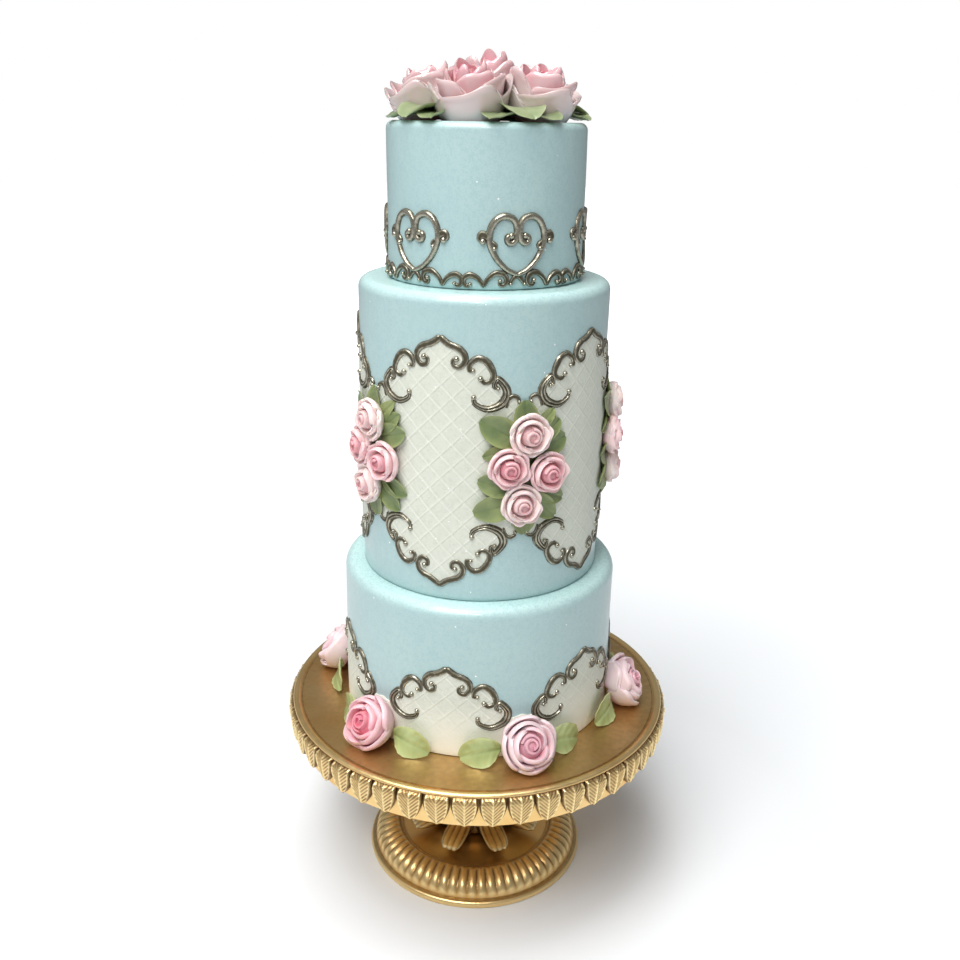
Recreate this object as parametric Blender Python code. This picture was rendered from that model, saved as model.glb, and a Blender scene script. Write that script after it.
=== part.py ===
"""A three-tier display cake on a gold pedestal stand.

Metres, +Z up. The origin is the middle of the foot's underside. The front of
the cake, angle 0, faces -Y, and angles grow towards +X.
"""
import math

import bmesh
import bpy
import numpy as np
from mathutils import Matrix, Vector

MM = 0.001
GAP = 0.3 * MM

# The stand
FOOT_RADIUS = 57.9 * MM
FOOT_RIM_HEIGHT = 3.6 * MM
FOOT_LEDGE = 1.1 * MM
FLUTE_COUNT = 66
FLUTE_OUTER_RADIUS = 55.2 * MM
FLUTE_INNER_RADIUS = 43.0 * MM
FLUTE_TOP_Z = 13.6 * MM
FLUTE_DEPTH = 0.9 * MM
FLUTE_ARC = (4.0, 44.0, 84.0)
DISH_LIP_WIDTH = 1.2 * MM
DISH_LIP_HEIGHT = 0.9 * MM
DISH_RADIUS = 40.0 * MM
DISH_Z = 11.0 * MM
STEM_SEAT_RADIUS = 22.0 * MM
STEM_SEAT_Z = 13.4 * MM
STEM_LEAVES = 8
STEM_LEAF_PHASE = 4.5
STEM_WAIST_RADIUS = 12.6 * MM
STEM_LEAF_REACH = 36.0 * MM
PLATE_RADIUS = 98.3 * MM
PLATE_TOP_Z = 98.0 * MM
PLATE_LIP_RADIUS = 95.2 * MM
PLATE_FLAT_RADIUS = 89.3 * MM
PLATE_RIM_Z = 94.3 * MM
BAND_LEAVES = 48
BAND_LEAF_PHASE = 1.7
BAND_RADIUS = 97.0 * MM
BAND_BOTTOM_Z = 81.6 * MM
PLATE_UNDERSIDE_Z = 91.4 * MM
SKIRT_TOP_THICKNESS = 8.0 * MM
SKIRT_THICKNESS = 4.2 * MM
SKIRT_INSET = 1.6 * MM
PLATE_LIP_HEIGHT = 0.3 * MM

# The tiers
TIER_FACETS = 40
TIER_EDGE_RADIUS = 4.6 * MM
BOTTOM_RADIUS = 67.2 * MM
BOTTOM_TOP_Z = 174.2 * MM
MIDDLE_RADIUS = 57.7 * MM
MIDDLE_TOP_Z = 311.9 * MM
TOP_RADIUS = 44.0 * MM
TOP_TOP_Z = 378.5 * MM

# The raised scrollwork
RELIEF = 1.3 * MM
SUNK = 0.6 * MM
KEPT_SHARE = 0.67
SCROLL_HALF_WIDTH = 0.95
CORNER_HALF_WIDTH = 1.4
SMALL_HALF_WIDTH = 0.9
KNOB_HALF_WIDTH = 1.6
MIDDLE_PANELS = 5
MIDDLE_PEAK_Z = 293.7 * MM
MIDDLE_MIRROR_Z = 237.85 * MM
BOTTOM_ARCHES = 6
BOTTOM_PEAK_Z = 143.6 * MM
HEART_COUNT = 6
HEART_DIP_Z = 336.7 * MM

# The flowers
MIDDLE_ROSE_RADIUS = 7.9 * MM
MIDDLE_ROSE_DEPTH = 8.2 * MM
MIDDLE_ROSE_STANDOFF = 2.3 * MM
BOTTOM_ROSE_RADIUS = 11.8 * MM
BOTTOM_ROSE_DEPTH = 15.0 * MM
BOTTOM_ROSE_REACH = 77.6 * MM
BOTTOM_ROSE_RISE = 30.0
BOTTOM_ROSE_HEIGHT = 12.0 * MM
TOP_ROSE_RADIUS = 15.2 * MM
TOP_ROSE_DEPTH = 18.6 * MM
TOP_ROSES = 5
TOP_ROSE_RING = 24.4 * MM
TOP_ROSE_SEAT_Z = TOP_TOP_Z + 4.3 * MM
TOP_ROSE_LEAN = 13.0
TOP_ROSE_TURN = -33.0
CENTRE_ROSE_RADIUS = 12.4 * MM
CENTRE_ROSE_TIP_Z = 406.6 * MM
WREATH_THICKNESS = 1.6 * MM
WREATH_CORE_RADIUS = 6.0 * MM
WREATH_WAIST_RADIUS = 27.0 * MM

# Half of a panel's upper frame, right of its middle, as lines through points
# (sideways, below the peak) in millimetres. Each line is a smooth curve.
PEAK_SCROLL = ((-0.5, 0.4), (3.5, -2.4), (8.6, -4.4), (10.8, -7.3), (8.6, -11.0), (5.8, -9.4))
SIDE_SCROLL = ((12.4, -13.2), (12.8, -9.9), (16.8, -8.1), (21.0, -11.8), (21.5, -16.6), (17.4, -16.6))
CORNER_SCROLL = (
    (22.9, -18.4), (24.6, -16.5), (27.5, -20.2), (27.0, -25.2),
    (22.2, -29.2), (16.6, -27.9), (14.6, -24.8),
)
LINK_SCROLL = ((28.3, -29.0), (28.6, -25.0), (32.2, -24.6))
# A heart's right half, its side knob, and the foot scrolls that link the ring.
HEART_LINE = (
    (3.6, -5.2), (0.9, -1.4), (2.2, 4.0), (6.4, 5.4), (11.3, 0.6),
    (11.4, -7.4), (6.6, -13.9), (-0.6, -18.8),
)
HEART_KNOB = ((12.0, -3.3), (15.6, -3.3))
HEART_FOOT = ((5.8, -20.9), (6.1, -18.0), (9.6, -17.3), (12.8, -19.8), (14.9, -22.6))
FOOT_LINK = ((3.1, -21.2), (1.5, -20.4), (3.1, -18.2), (6.6, -19.6), (9.6, -23.2))

# A cluster's four roses, (sideways, height) of the middle of each, and their kind.
CLUSTER_ROSES = (
    ("pale", 1.3, 253.6), ("deep", -6.8, 239.2), ("deep", 9.9, 235.9), ("pale", -1.4, 222.4),
)
# A cluster's leaves: tip, base and width in millimetres.
CLUSTER_LEAVES = (
    (0.0, 267.6, 0.5, 252.0, 8.6), (13.4, 262.6, 1.5, 253.0, 4.6),
    (16.4, 258.0, 2.0, 249.0, 6.4), (19.6, 250.6, 4.0, 247.0, 8.4),
    (19.8, 221.6, 3.0, 229.0, 6.6), (15.6, 214.6, 0.5, 226.5, 7.0),
    (1.0, 207.4, 0.5, 222.0, 7.6), (-20.6, 218.4, -2.0, 224.0, 8.4),
    (-19.0, 233.6, -3.0, 229.5, 8.4), (-17.2, 244.4, -3.0, 247.5, 5.2),
    (-18.4, 259.2, -1.5, 251.0, 8.4),
)
LEAF_THICKNESS = 0.9 * MM


def clear_scene():
    """Take every object out of the scene."""
    for thing in list(bpy.data.objects):
        bpy.data.objects.remove(thing, do_unlink=True)


def finish(name, colour, roughness, metallic=0.0):
    """A Principled material."""
    material = bpy.data.materials.new(name)
    material.use_nodes = True
    shader = material.node_tree.nodes["Principled BSDF"]
    shader.inputs["Base Color"].default_value = (*colour, 1.0)
    shader.inputs["Roughness"].default_value = roughness
    shader.inputs["Metallic"].default_value = metallic
    return material


def body_from(name, points, faces):
    """A closed mesh with its faces pointing out."""
    mesh = bpy.data.meshes.new(name)
    mesh.from_pydata([tuple(point) for point in points], [], faces)
    work = bmesh.new()
    work.from_mesh(mesh)
    bmesh.ops.recalc_face_normals(work, faces=work.faces)
    work.to_mesh(mesh)
    work.free()
    return mesh


def place(name, mesh, material, collection=None):
    """An object that shows the mesh in the material."""
    thing = bpy.data.objects.new(name, mesh)
    if not mesh.materials:
        mesh.materials.append(material)
    (collection or bpy.context.scene.collection).objects.link(thing)
    return thing


def ring(count, radius, height, phase=0.0):
    """Points round the Z axis; radius and height may be one number or one for each point."""
    angles = np.radians(phase) + np.arange(count) * 2 * math.pi / count
    radii = np.broadcast_to(radius, count)
    heights = np.broadcast_to(height, count)
    return np.stack([radii * np.sin(angles), -radii * np.cos(angles), heights], axis=1)


def band(first, first_count, second, second_count):
    """Faces between two rings, one of which may have twice the other's points."""
    faces = []
    if first_count > second_count:
        return [face[::-1] for face in band(second, second_count, first, first_count)]
    for index in range(first_count):
        here, after = first + index, first + (index + 1) % first_count
        if first_count == second_count:
            faces.append((here, after, second + (index + 1) % first_count, second + index))
            continue
        left, mid = second + 2 * index, second + 2 * index + 1
        right = second + (2 * index + 2) % second_count
        faces += [(here, after, mid), (here, mid, left), (after, right, mid)]
    return faces


def skin(name, rings):
    """One closed body over a stack of rings, with a flat cap at each end."""
    starts = np.cumsum([0] + [len(points) for points in rings])
    faces = [tuple(range(starts[1]))[::-1]]
    for index in range(len(rings) - 1):
        faces += band(starts[index], len(rings[index]), starts[index + 1], len(rings[index + 1]))
    faces.append(tuple(range(starts[-2], starts[-1])))
    return body_from(name, np.concatenate(rings), faces)


def soften(mesh, angle=35.0):
    """Shade round pieces smooth and keep their edges sharp."""
    mesh.shade_smooth()
    mesh.set_sharp_from_angle(angle=math.radians(angle))


def smooth_line(points, steps):
    """Even steps along a Catmull-Rom curve through the points."""
    points = np.array(points, dtype=float)
    ends = np.concatenate([[2 * points[0] - points[1]], points, [2 * points[-1] - points[-2]]])
    t = np.linspace(0, 1, 12, endpoint=False)[:, None]
    curve = []
    for a, b, c, d in zip(ends, ends[1:], ends[2:], ends[3:]):
        curve.append(0.5 * (2 * b + (c - a) * t + (2 * a - 5 * b + 4 * c - d) * t**2
                            + (3 * b - a - 3 * c + d) * t**3))
    curve = np.concatenate(curve + [points[-1:]])
    length = np.concatenate([[0], np.cumsum(np.linalg.norm(np.diff(curve, axis=0), axis=1))])
    wanted = np.linspace(0, length[-1], steps + 1)
    return np.stack([np.interp(wanted, length, curve[:, axis]) for axis in range(2)], axis=1)


def on_wall(sideways, height, depth, radius, turn):
    """Points of a flat drawing wrapped round a tier's wall, in metres."""
    angles = np.radians(turn) + sideways / radius
    reach = radius + depth
    return np.stack([reach * np.sin(angles), -reach * np.cos(angles), height + 0 * reach], axis=-1)


def scroll(name, line, steps, half_width, radius, turn, level, mirror=1, flip=1):
    """A ridge along a smooth line on a tier's wall, its foot sunk in the wall."""
    path = smooth_line(line, steps) * MM
    path = path * (mirror, flip) + (0, level)
    along = np.gradient(path, axis=0)
    across = np.stack([-along[:, 1], along[:, 0]], axis=1) / np.linalg.norm(along, axis=1)[:, None]
    taper = 0.55 + 0.45 * np.sin(np.linspace(0.12, 0.88, steps + 1) * math.pi)
    reach = (half_width * taper)[:, None]
    sections = (
        (path - across * reach, -SUNK),
        (path, RELIEF * taper),
        (path + across * reach, -SUNK),
    )
    points = [on_wall(spots[:, 0], spots[:, 1], depth, radius, turn) for spots, depth in sections]
    count = steps + 1
    faces = [(0, count, 2 * count), (count - 1, 3 * count - 1, 2 * count - 1)]
    for index in range(steps):
        for edge in range(3):
            one, two = edge * count + index, ((edge + 1) % 3) * count + index
            faces.append((one, one + 1, two + 1, two))
    return body_from(name, np.concatenate(points), faces)


def fuse(target, meshes):
    """Join loose shapes to the target by one Boolean union, then thin out its triangles.

    The exact solver leaves these crossing ridges touching themselves, so this
    union uses the manifold one.
    """
    extras = bpy.data.collections.new(target.name + "_extras")
    bpy.context.scene.collection.children.link(extras)
    for mesh in meshes:
        place(mesh.name, mesh, target.data.materials[0], extras)
    union = target.modifiers.new("union", "BOOLEAN")
    union.operation = "UNION"
    union.operand_type = "COLLECTION"
    union.collection = extras
    union.solver = "MANIFOLD"
    bpy.context.view_layer.update()
    evaluated = target.evaluated_get(bpy.context.evaluated_depsgraph_get())
    joined = bpy.data.meshes.new_from_object(evaluated)
    target.modifiers.clear()
    target.data = joined
    thin = target.modifiers.new("thin", "DECIMATE")
    thin.ratio = KEPT_SHARE
    for extra in list(extras.objects):
        bpy.data.objects.remove(extra, do_unlink=True)
    bpy.data.collections.remove(extras)


def build_foot(gold):
    """The round foot: a plinth rim, a fluted quarter round, a ring groove and a dish."""
    double = 2 * FLUTE_COUNT
    ridge = np.where(np.arange(double) % 2 == 0, 0.5, -0.5) * FLUTE_DEPTH
    rings = [
        ring(FLUTE_COUNT // 2, FOOT_RADIUS, 0.0),
        ring(FLUTE_COUNT // 2, FOOT_RADIUS, FOOT_RIM_HEIGHT * 0.6),
        ring(FLUTE_COUNT, FLUTE_OUTER_RADIUS + FOOT_LEDGE, FOOT_RIM_HEIGHT),
    ]
    span = FLUTE_OUTER_RADIUS - FLUTE_INNER_RADIUS
    rise = FLUTE_TOP_Z - FOOT_RIM_HEIGHT
    for angle in np.radians(FLUTE_ARC):
        rings.append(ring(
            double,
            FLUTE_INNER_RADIUS + span * math.cos(angle) + ridge * math.cos(angle),
            FOOT_RIM_HEIGHT + rise * math.sin(angle) + ridge * math.sin(angle),
        ))
    rings += [
        ring(FLUTE_COUNT, FLUTE_INNER_RADIUS - DISH_LIP_WIDTH, DISH_Z + DISH_LIP_HEIGHT),
        ring(FLUTE_COUNT // 2, DISH_RADIUS, DISH_Z),
        ring(FLUTE_COUNT // 2, STEM_SEAT_RADIUS, STEM_SEAT_Z),
    ]
    mesh = skin("stand_foot", rings)
    soften(mesh, 50)
    return place("stand_foot", mesh, gold)


def build_stem(gold):
    """The stem, wrapped in upright ribbed leaves whose tips curl out over the dish."""
    count = 4 * STEM_LEAVES
    lobe = np.tile((1.0, 0.86, 0.0, 0.86), STEM_LEAVES)
    low = STEM_SEAT_Z + GAP
    high = PLATE_UNDERSIDE_Z - GAP
    # (radius between the leaves, radius on a leaf, height)
    outline = (
        (17.0, 18.5, low / MM),
        (18.0, 33.0, low / MM + 1.4),
        (18.5, STEM_LEAF_REACH / MM, low / MM + 3.6),
        (16.5, 28.0, low / MM + 6.6),
        (13.2, 17.0, 27.0),
        (11.0, STEM_WAIST_RADIUS / MM, 46.0),
        (13.0, 15.0, 72.0),
        (21.0, 22.0, high / MM),
    )
    rings = []
    for between, on_leaf, height in outline:
        radii = (between + (on_leaf - between) * lobe) * MM
        rings.append(ring(count, radii, height * MM, STEM_LEAF_PHASE))
    mesh = skin("stand_stem", rings)
    soften(mesh)
    return place("stand_stem", mesh, gold)


def build_plate(gold):
    """The plate: a flat top with a low rolled lip, and a hanging band of leaves round its rim."""
    count = 2 * BAND_LEAVES
    half = BAND_LEAVES
    leaf = np.tile((1.0, 0.0), BAND_LEAVES)
    plain = BAND_RADIUS - SKIRT_INSET

    def leaf_row(relief, tip_z, gap_z):
        """One row down the leaf band: leaf middles stand proud of the gaps between them."""
        return ring(count, plain + relief * leaf, gap_z + (tip_z - gap_z) * leaf, BAND_LEAF_PHASE)

    rings = [
        ring(half, BAND_RADIUS - SKIRT_TOP_THICKNESS, PLATE_UNDERSIDE_Z, BAND_LEAF_PHASE),
        ring(half, BAND_RADIUS - SKIRT_THICKNESS, BAND_BOTTOM_Z, BAND_LEAF_PHASE),
        ring(count, plain - 0.6 * MM, BAND_BOTTOM_Z, BAND_LEAF_PHASE),
        leaf_row(1.3 * MM, 82.9 * MM, 88.0 * MM),
        leaf_row(1.8 * MM, 91.0 * MM, 92.6 * MM),
        ring(half, PLATE_RADIUS, PLATE_RIM_Z, BAND_LEAF_PHASE),
        ring(half, PLATE_LIP_RADIUS, PLATE_TOP_Z + PLATE_LIP_HEIGHT, BAND_LEAF_PHASE),
        ring(half, PLATE_FLAT_RADIUS, PLATE_TOP_Z, BAND_LEAF_PHASE),
    ]
    mesh = skin("stand_plate", rings)
    soften(mesh, 30)
    return place("stand_plate", mesh, gold)


def build_tier(name, radius, base_z, top_z, icing):
    """One round tier with a softly rounded top edge."""
    rings = [ring(TIER_FACETS, radius, base_z)]
    for angle in np.radians((0.0, 45.0, 90.0)):
        inset = TIER_EDGE_RADIUS * (1 - math.cos(angle))
        rings.append(ring(
            TIER_FACETS, radius - inset, top_z - TIER_EDGE_RADIUS * (1 - math.sin(angle))))
    mesh = skin(name, rings)
    soften(mesh, 50)
    return place(name, mesh, icing)


def frame_scrolls(prefix, radius, turn, peak_z, flip, with_link):
    """Both halves of one panel's scroll frame."""
    lines = [
        (PEAK_SCROLL, 4, SCROLL_HALF_WIDTH), (SIDE_SCROLL, 4, SCROLL_HALF_WIDTH),
        (CORNER_SCROLL, 5, CORNER_HALF_WIDTH),
    ]
    if with_link:
        lines.append((LINK_SCROLL, 1, SMALL_HALF_WIDTH))
    meshes = []
    for mirror in (-1, 1):
        for index, (line, steps, half_width) in enumerate(lines):
            name = f"{prefix}_{index}_{mirror}"
            meshes.append(scroll(
                name, line, steps, half_width * MM, radius, turn, peak_z, mirror, flip))
    return meshes


def heart_scrolls(prefix, radius, turn):
    """One heart with its knobs and feet, and the small pair that links it to the next."""
    level = HEART_DIP_Z
    half_step = 180.0 / HEART_COUNT
    lines = (
        (HEART_LINE, 7, SCROLL_HALF_WIDTH, 0.0), (HEART_KNOB, 1, KNOB_HALF_WIDTH, 0.0),
        (HEART_FOOT, 3, SMALL_HALF_WIDTH, 0.0), (FOOT_LINK, 3, SMALL_HALF_WIDTH, half_step),
    )
    meshes = []
    for mirror in (-1, 1):
        for index, (line, steps, half_width, offset) in enumerate(lines):
            name = f"{prefix}_{index}_{mirror}"
            meshes.append(scroll(
                name, line, steps, half_width * MM, radius, turn + offset, level, mirror))
    return meshes


def build_tiers(icing):
    """The three tiers, each in one piece with the scrollwork raised on its wall."""
    bottom = build_tier("tier_bottom", BOTTOM_RADIUS, PLATE_TOP_Z + GAP, BOTTOM_TOP_Z, icing)
    arches = []
    for index in range(BOTTOM_ARCHES):
        turn = (index + 0.5) * 360 / BOTTOM_ARCHES
        arches += frame_scrolls(f"arch_{index}", BOTTOM_RADIUS, turn, BOTTOM_PEAK_Z, 1, False)
    fuse(bottom, arches)

    middle = build_tier("tier_middle", MIDDLE_RADIUS, BOTTOM_TOP_Z + GAP, MIDDLE_TOP_Z, icing)
    low_peak = 2 * MIDDLE_MIRROR_Z - MIDDLE_PEAK_Z
    frames = []
    for index in range(MIDDLE_PANELS):
        turn = (index + 0.5) * 360 / MIDDLE_PANELS
        frames += frame_scrolls(f"upper_{index}", MIDDLE_RADIUS, turn, MIDDLE_PEAK_Z, 1, True)
        frames += frame_scrolls(f"lower_{index}", MIDDLE_RADIUS, turn, low_peak, -1, True)
    fuse(middle, frames)

    top = build_tier("tier_top", TOP_RADIUS, MIDDLE_TOP_Z + GAP, TOP_TOP_Z, icing)
    hearts = []
    for index in range(HEART_COUNT):
        hearts += heart_scrolls(f"heart_{index}", TOP_RADIUS, index * 360 / HEART_COUNT)
    fuse(top, hearts)


def rose_mesh(name, radius, depth, petals, rows):
    """A rose seen along +Z with its back at 0: rows of petals round a closed bud.

    A row is (radius share, height share, how far its petals stand out, turn in petals).
    """
    count = 2 * petals
    step = 360.0 / petals
    rings = []
    for share, height, swell, turn in rows:
        wave = 1 + swell * np.where(np.arange(count) % 2 == 0, 1.0, -1.0)
        lift = 1 - 0.4 * swell * np.where(np.arange(count) % 2 == 0, 1.0, -1.0)
        rings.append(ring(count, radius * share * wave, depth * height * lift, turn * step))
    return skin(name, rings)


def aimed(position, outward):
    """The matrix that sets a rose at a point, facing along a direction."""
    turn = Vector(outward).to_track_quat("Z", "Y").to_matrix().to_4x4()
    return Matrix.Translation(position) @ turn


def build_middle_roses(pinks):
    """Four roses in each of the five clusters on the middle tier."""
    rows = ((0.62, 0.0, 0.0, 0.0), (0.97, 0.45, 0.04, 0.0), (0.68, 0.78, 0.07, 0.3),
            (0.46, 0.66, 0.06, 0.5), (0.28, 0.98, 0.08, 0.8))
    meshes = {kind: rose_mesh(f"rose_{kind}", MIDDLE_ROSE_RADIUS, MIDDLE_ROSE_DEPTH, 4, rows)
              for kind in ("pale", "deep")}
    back = MIDDLE_RADIUS + MIDDLE_ROSE_STANDOFF
    for cluster in range(MIDDLE_PANELS):
        turn = cluster * 360 / MIDDLE_PANELS
        for index, (kind, sideways, height) in enumerate(CLUSTER_ROSES):
            angle = math.radians(turn) + sideways * MM / MIDDLE_RADIUS
            outward = (math.sin(angle), -math.cos(angle), 0.0)
            position = Vector(outward) * back + Vector((0, 0, height * MM))
            rose = place(f"rose_middle_{cluster + 1}_{index + 1}", meshes[kind], pinks[kind])
            spin = Matrix.Rotation(math.radians(37 * index + 20 * cluster), 4, "Z")
            rose.matrix_world = aimed(position, outward) @ spin


def spray_mesh(name, radius, turn):
    """A cluster's leaves as one thin sheet that lies on the tier's wall.

    Each leaf gives the edge four points: a notch, a shoulder, the lifted tip and
    a shoulder. Its vein rises to one inner point, and those fan in to the middle.
    """
    tips = np.array([leaf[:2] for leaf in CLUSTER_LEAVES])
    bases = np.array([leaf[2:4] for leaf in CLUSTER_LEAVES])
    widths = np.array([leaf[4] for leaf in CLUSTER_LEAVES])[:, None]
    along = tips - bases
    across = np.stack([-along[:, 1], along[:, 0]], axis=1)
    across *= widths / 2 / np.linalg.norm(along, axis=1)[:, None]
    shoulder = bases + along * 0.66
    notch = (bases + along * 0.4 + across + np.roll(bases + along * 0.4 - across, 1, axis=0)) / 2
    edge = np.stack([notch, shoulder + across, tips, shoulder - across], axis=1).reshape(-1, 2)
    leaves = len(CLUSTER_LEAVES)
    middle = (0.5, MIDDLE_MIRROR_Z / MM)
    flat = np.concatenate([edge, bases + along * 0.5, [middle]]) * MM
    rise = np.concatenate([np.tile((0.5, 0.6, 1.2, 0.6), leaves), np.full(leaves + 1, 0.8)]) * MM
    lower = on_wall(flat[:, 0], flat[:, 1], rise, radius, turn)
    upper = on_wall(flat[:, 0], flat[:, 1], rise + LEAF_THICKNESS, radius, turn)
    rim, centre, total = 4 * leaves, 5 * leaves, 5 * leaves + 1
    faces = []
    for index in range(rim):
        after, vein = (index + 1) % rim, rim + index // 4
        faces.append((index, after, total + after, total + index))
        faces += [(after, index, vein), (total + index, total + after, total + vein)]
    for index in range(leaves):
        notch_point, vein, before = 4 * index, rim + index, rim + (index - 1) % leaves
        for trio in ((notch_point, before, vein), (before, centre, vein)):
            faces += [trio, tuple(total + point for point in reversed(trio))]
    return body_from(name, np.concatenate([lower, upper]), faces)


def build_sprays(green):
    """The leaves of each cluster, joined behind its roses."""
    for cluster in range(MIDDLE_PANELS):
        name = f"leaves_middle_{cluster + 1}"
        turn = cluster * 360 / MIDDLE_PANELS
        place(name, spray_mesh(name, MIDDLE_RADIUS, turn), green)


def build_bottom_flowers(pink, green):
    """Six roses in the corner of the bottom tier and the plate, with a leaf on each side."""
    rows = ((0.46, 0.0, 0.0, 0.0), (0.88, 0.34, 0.03, 0.0), (1.0, 0.62, 0.05, 0.1),
            (0.72, 0.58, 0.05, 0.4), (0.62, 0.86, 0.06, 0.6), (0.38, 0.76, 0.05, 0.8),
            (0.26, 0.98, 0.08, 1.1))
    mesh = rose_mesh("rose_bottom", BOTTOM_ROSE_RADIUS, BOTTOM_ROSE_DEPTH, 5, rows)
    rise = math.radians(BOTTOM_ROSE_RISE)
    for index in range(BOTTOM_ARCHES):
        turn = math.radians(index * 360 / BOTTOM_ARCHES)
        away = Vector((math.sin(turn), -math.cos(turn), 0.0))
        facing = away * math.cos(rise) + Vector((0, 0, math.sin(rise)))
        centre = away * BOTTOM_ROSE_REACH + Vector((0, 0, PLATE_TOP_Z + BOTTOM_ROSE_HEIGHT))
        back = centre - facing * BOTTOM_ROSE_DEPTH * 0.5
        rose = place(f"rose_bottom_{index + 1}", mesh, pink)
        rose.matrix_world = aimed(back, facing) @ Matrix.Rotation(math.radians(25 * index), 4, "Z")
        for side, word in ((-1, "left"), (1, "right")):
            build_bottom_leaf(f"leaf_bottom_{index + 1}_{word}", turn, side, green)


def build_bottom_leaf(name, turn, side, green):
    """A broad leaf that leans on the tier's wall and stands on the plate beside a rose."""
    # (sideways from the rose, out from the wall, above the plate) in millimetres
    outline = (
        (12.6, 4.6, 4.0), (15.0, 5.0, 11.2), (20.0, 4.2, 12.4), (26.0, 5.6, 2.6),
        (21.0, 8.4, 1.0), (15.0, 8.0, 0.8),
    )
    vein = (18.6, 7.6, 6.6)
    spots = np.array(outline + (vein,)) * MM
    upper_lift = 0.5 * MM
    lower, upper = [], []
    for sideways, out, above in spots:
        angle = turn + side * sideways / BOTTOM_RADIUS
        reach = BOTTOM_RADIUS + out
        lower.append((reach * math.sin(angle), -reach * math.cos(angle), PLATE_TOP_Z + above))
        reach += LEAF_THICKNESS
        upper.append((
            reach * math.sin(angle), -reach * math.cos(angle), PLATE_TOP_Z + above + upper_lift))
    count = len(outline)
    faces = []
    for index in range(count):
        after = (index + 1) % count
        faces += [(index, after, count), (2 * count + 1, count + 1 + after, count + 1 + index)]
        faces.append((after, index, count + 1 + index, count + 1 + after))
    place(name, body_from(name, lower + upper, faces), green)


def build_top_flowers(pink, green):
    """Five large roses in a ring on the top tier, one raised rose in their middle, and leaves."""
    rows = ((0.58, 0.0, 0.0, 0.0), (0.86, 0.3, 0.03, 0.0), (1.0, 0.66, 0.05, 0.1),
            (0.74, 0.62, 0.05, 0.4), (0.64, 0.88, 0.06, 0.6), (0.4, 0.78, 0.05, 0.8),
            (0.24, 1.0, 0.1, 1.1))
    mesh = rose_mesh("rose_top", TOP_ROSE_RADIUS, TOP_ROSE_DEPTH, 6, rows)
    lean = math.radians(TOP_ROSE_LEAN)
    for index in range(TOP_ROSES):
        turn = math.radians(TOP_ROSE_TURN + index * 360 / TOP_ROSES)
        away = Vector((math.sin(turn), -math.cos(turn), 0.0))
        facing = away * math.sin(lean) + Vector((0, 0, math.cos(lean)))
        rose = place(f"rose_top_{index + 1}", mesh, pink)
        position = away * TOP_ROSE_RING + Vector((0, 0, TOP_ROSE_SEAT_Z))
        rose.matrix_world = aimed(position, facing)
    build_centre_rose(pink)
    build_top_leaves(green)


def build_centre_rose(pink):
    """The raised rose: a narrow back between the five others, which opens above them."""
    depth = CENTRE_ROSE_TIP_Z - TOP_ROSE_SEAT_Z
    rows = ((0.5, 0.0, 0.0, 0.0), (0.52, 0.4, 0.0, 0.0), (0.86, 0.66, 0.04, 0.1),
            (1.0, 0.86, 0.06, 0.3), (0.7, 0.8, 0.05, 0.5), (0.56, 0.97, 0.06, 0.8),
            (0.24, 0.9, 0.05, 1.1))
    mesh = rose_mesh("rose_top_centre", CENTRE_ROSE_RADIUS, depth, 5, rows)
    rose = place("rose_top_centre", mesh, pink)
    rose.location = (0.0, 0.0, TOP_ROSE_SEAT_Z)


def build_top_leaves(green):
    """A wreath of pointed leaves on the top tier, raised where the roses leave room.

    Each leaf gives the edge a tip, a shoulder, a notch and a shoulder. Every third
    leaf fills the gap between two roses and stands higher than its neighbours.
    """
    leaves = 3 * TOP_ROSES
    count = 4 * leaves
    phase = TOP_ROSE_TURN + 180 / TOP_ROSES
    in_gap, under_rose, before_gap = (0.9, 4.6, 0.9, 1.1), (0.9, 1.1, 0.9, 1.1), (0.9, 1.1, 0.9, 4.6)
    rise = np.tile(in_gap + under_rose + before_gap, TOP_ROSES) * MM
    reach = np.tile((45.0, 39.0, 31.0, 39.0), leaves) * MM
    base = TOP_TOP_Z + GAP
    inner = ring(leaves, WREATH_CORE_RADIUS, base, phase)
    waist = ring(2 * leaves, WREATH_WAIST_RADIUS, base, phase)
    edge = ring(count, reach, base + rise, phase)
    edge_top = ring(count, reach, base + rise + LEAF_THICKNESS, phase)
    waist_top = ring(2 * leaves, WREATH_WAIST_RADIUS, base + WREATH_THICKNESS, phase)
    inner_top = ring(leaves, WREATH_CORE_RADIUS, base + WREATH_THICKNESS, phase)
    mesh = skin("leaves_top", [inner, waist, edge, edge_top, waist_top, inner_top])
    place("leaves_top", mesh, green)


def main():
    """Build the whole cake on its stand."""
    clear_scene()
    gold = finish("antique_gold", (0.55, 0.36, 0.16), 0.38, 1.0)
    icing = finish("blue_icing", (0.46, 0.67, 0.70), 0.35)
    green = finish("leaf_green", (0.36, 0.46, 0.23), 0.45)
    pinks = {
        "pale": finish("pale_pink", (0.84, 0.66, 0.68), 0.5),
        "deep": finish("deep_pink", (0.80, 0.48, 0.56), 0.5),
    }
    build_foot(gold)
    build_stem(gold)
    build_plate(gold)
    build_tiers(icing)
    build_sprays(green)
    build_middle_roses(pinks)
    build_bottom_flowers(pinks["pale"], green)
    build_top_flowers(pinks["pale"], green)


main()
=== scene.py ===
"""The finished look of a three-tier display cake on a gold pedestal stand.

Sizes are in millimetres and become metres when a mesh is made. Angles are in
degrees from the front, which faces -Y, and grow towards +X. A drawing on a
tier's wall is flat first: sideways along the wall, depth out of it, and height.
"""
import logging
import math
from dataclasses import dataclass, field
from enum import Enum

import bpy
import numpy as np
from mathutils import Matrix, Vector


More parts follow.
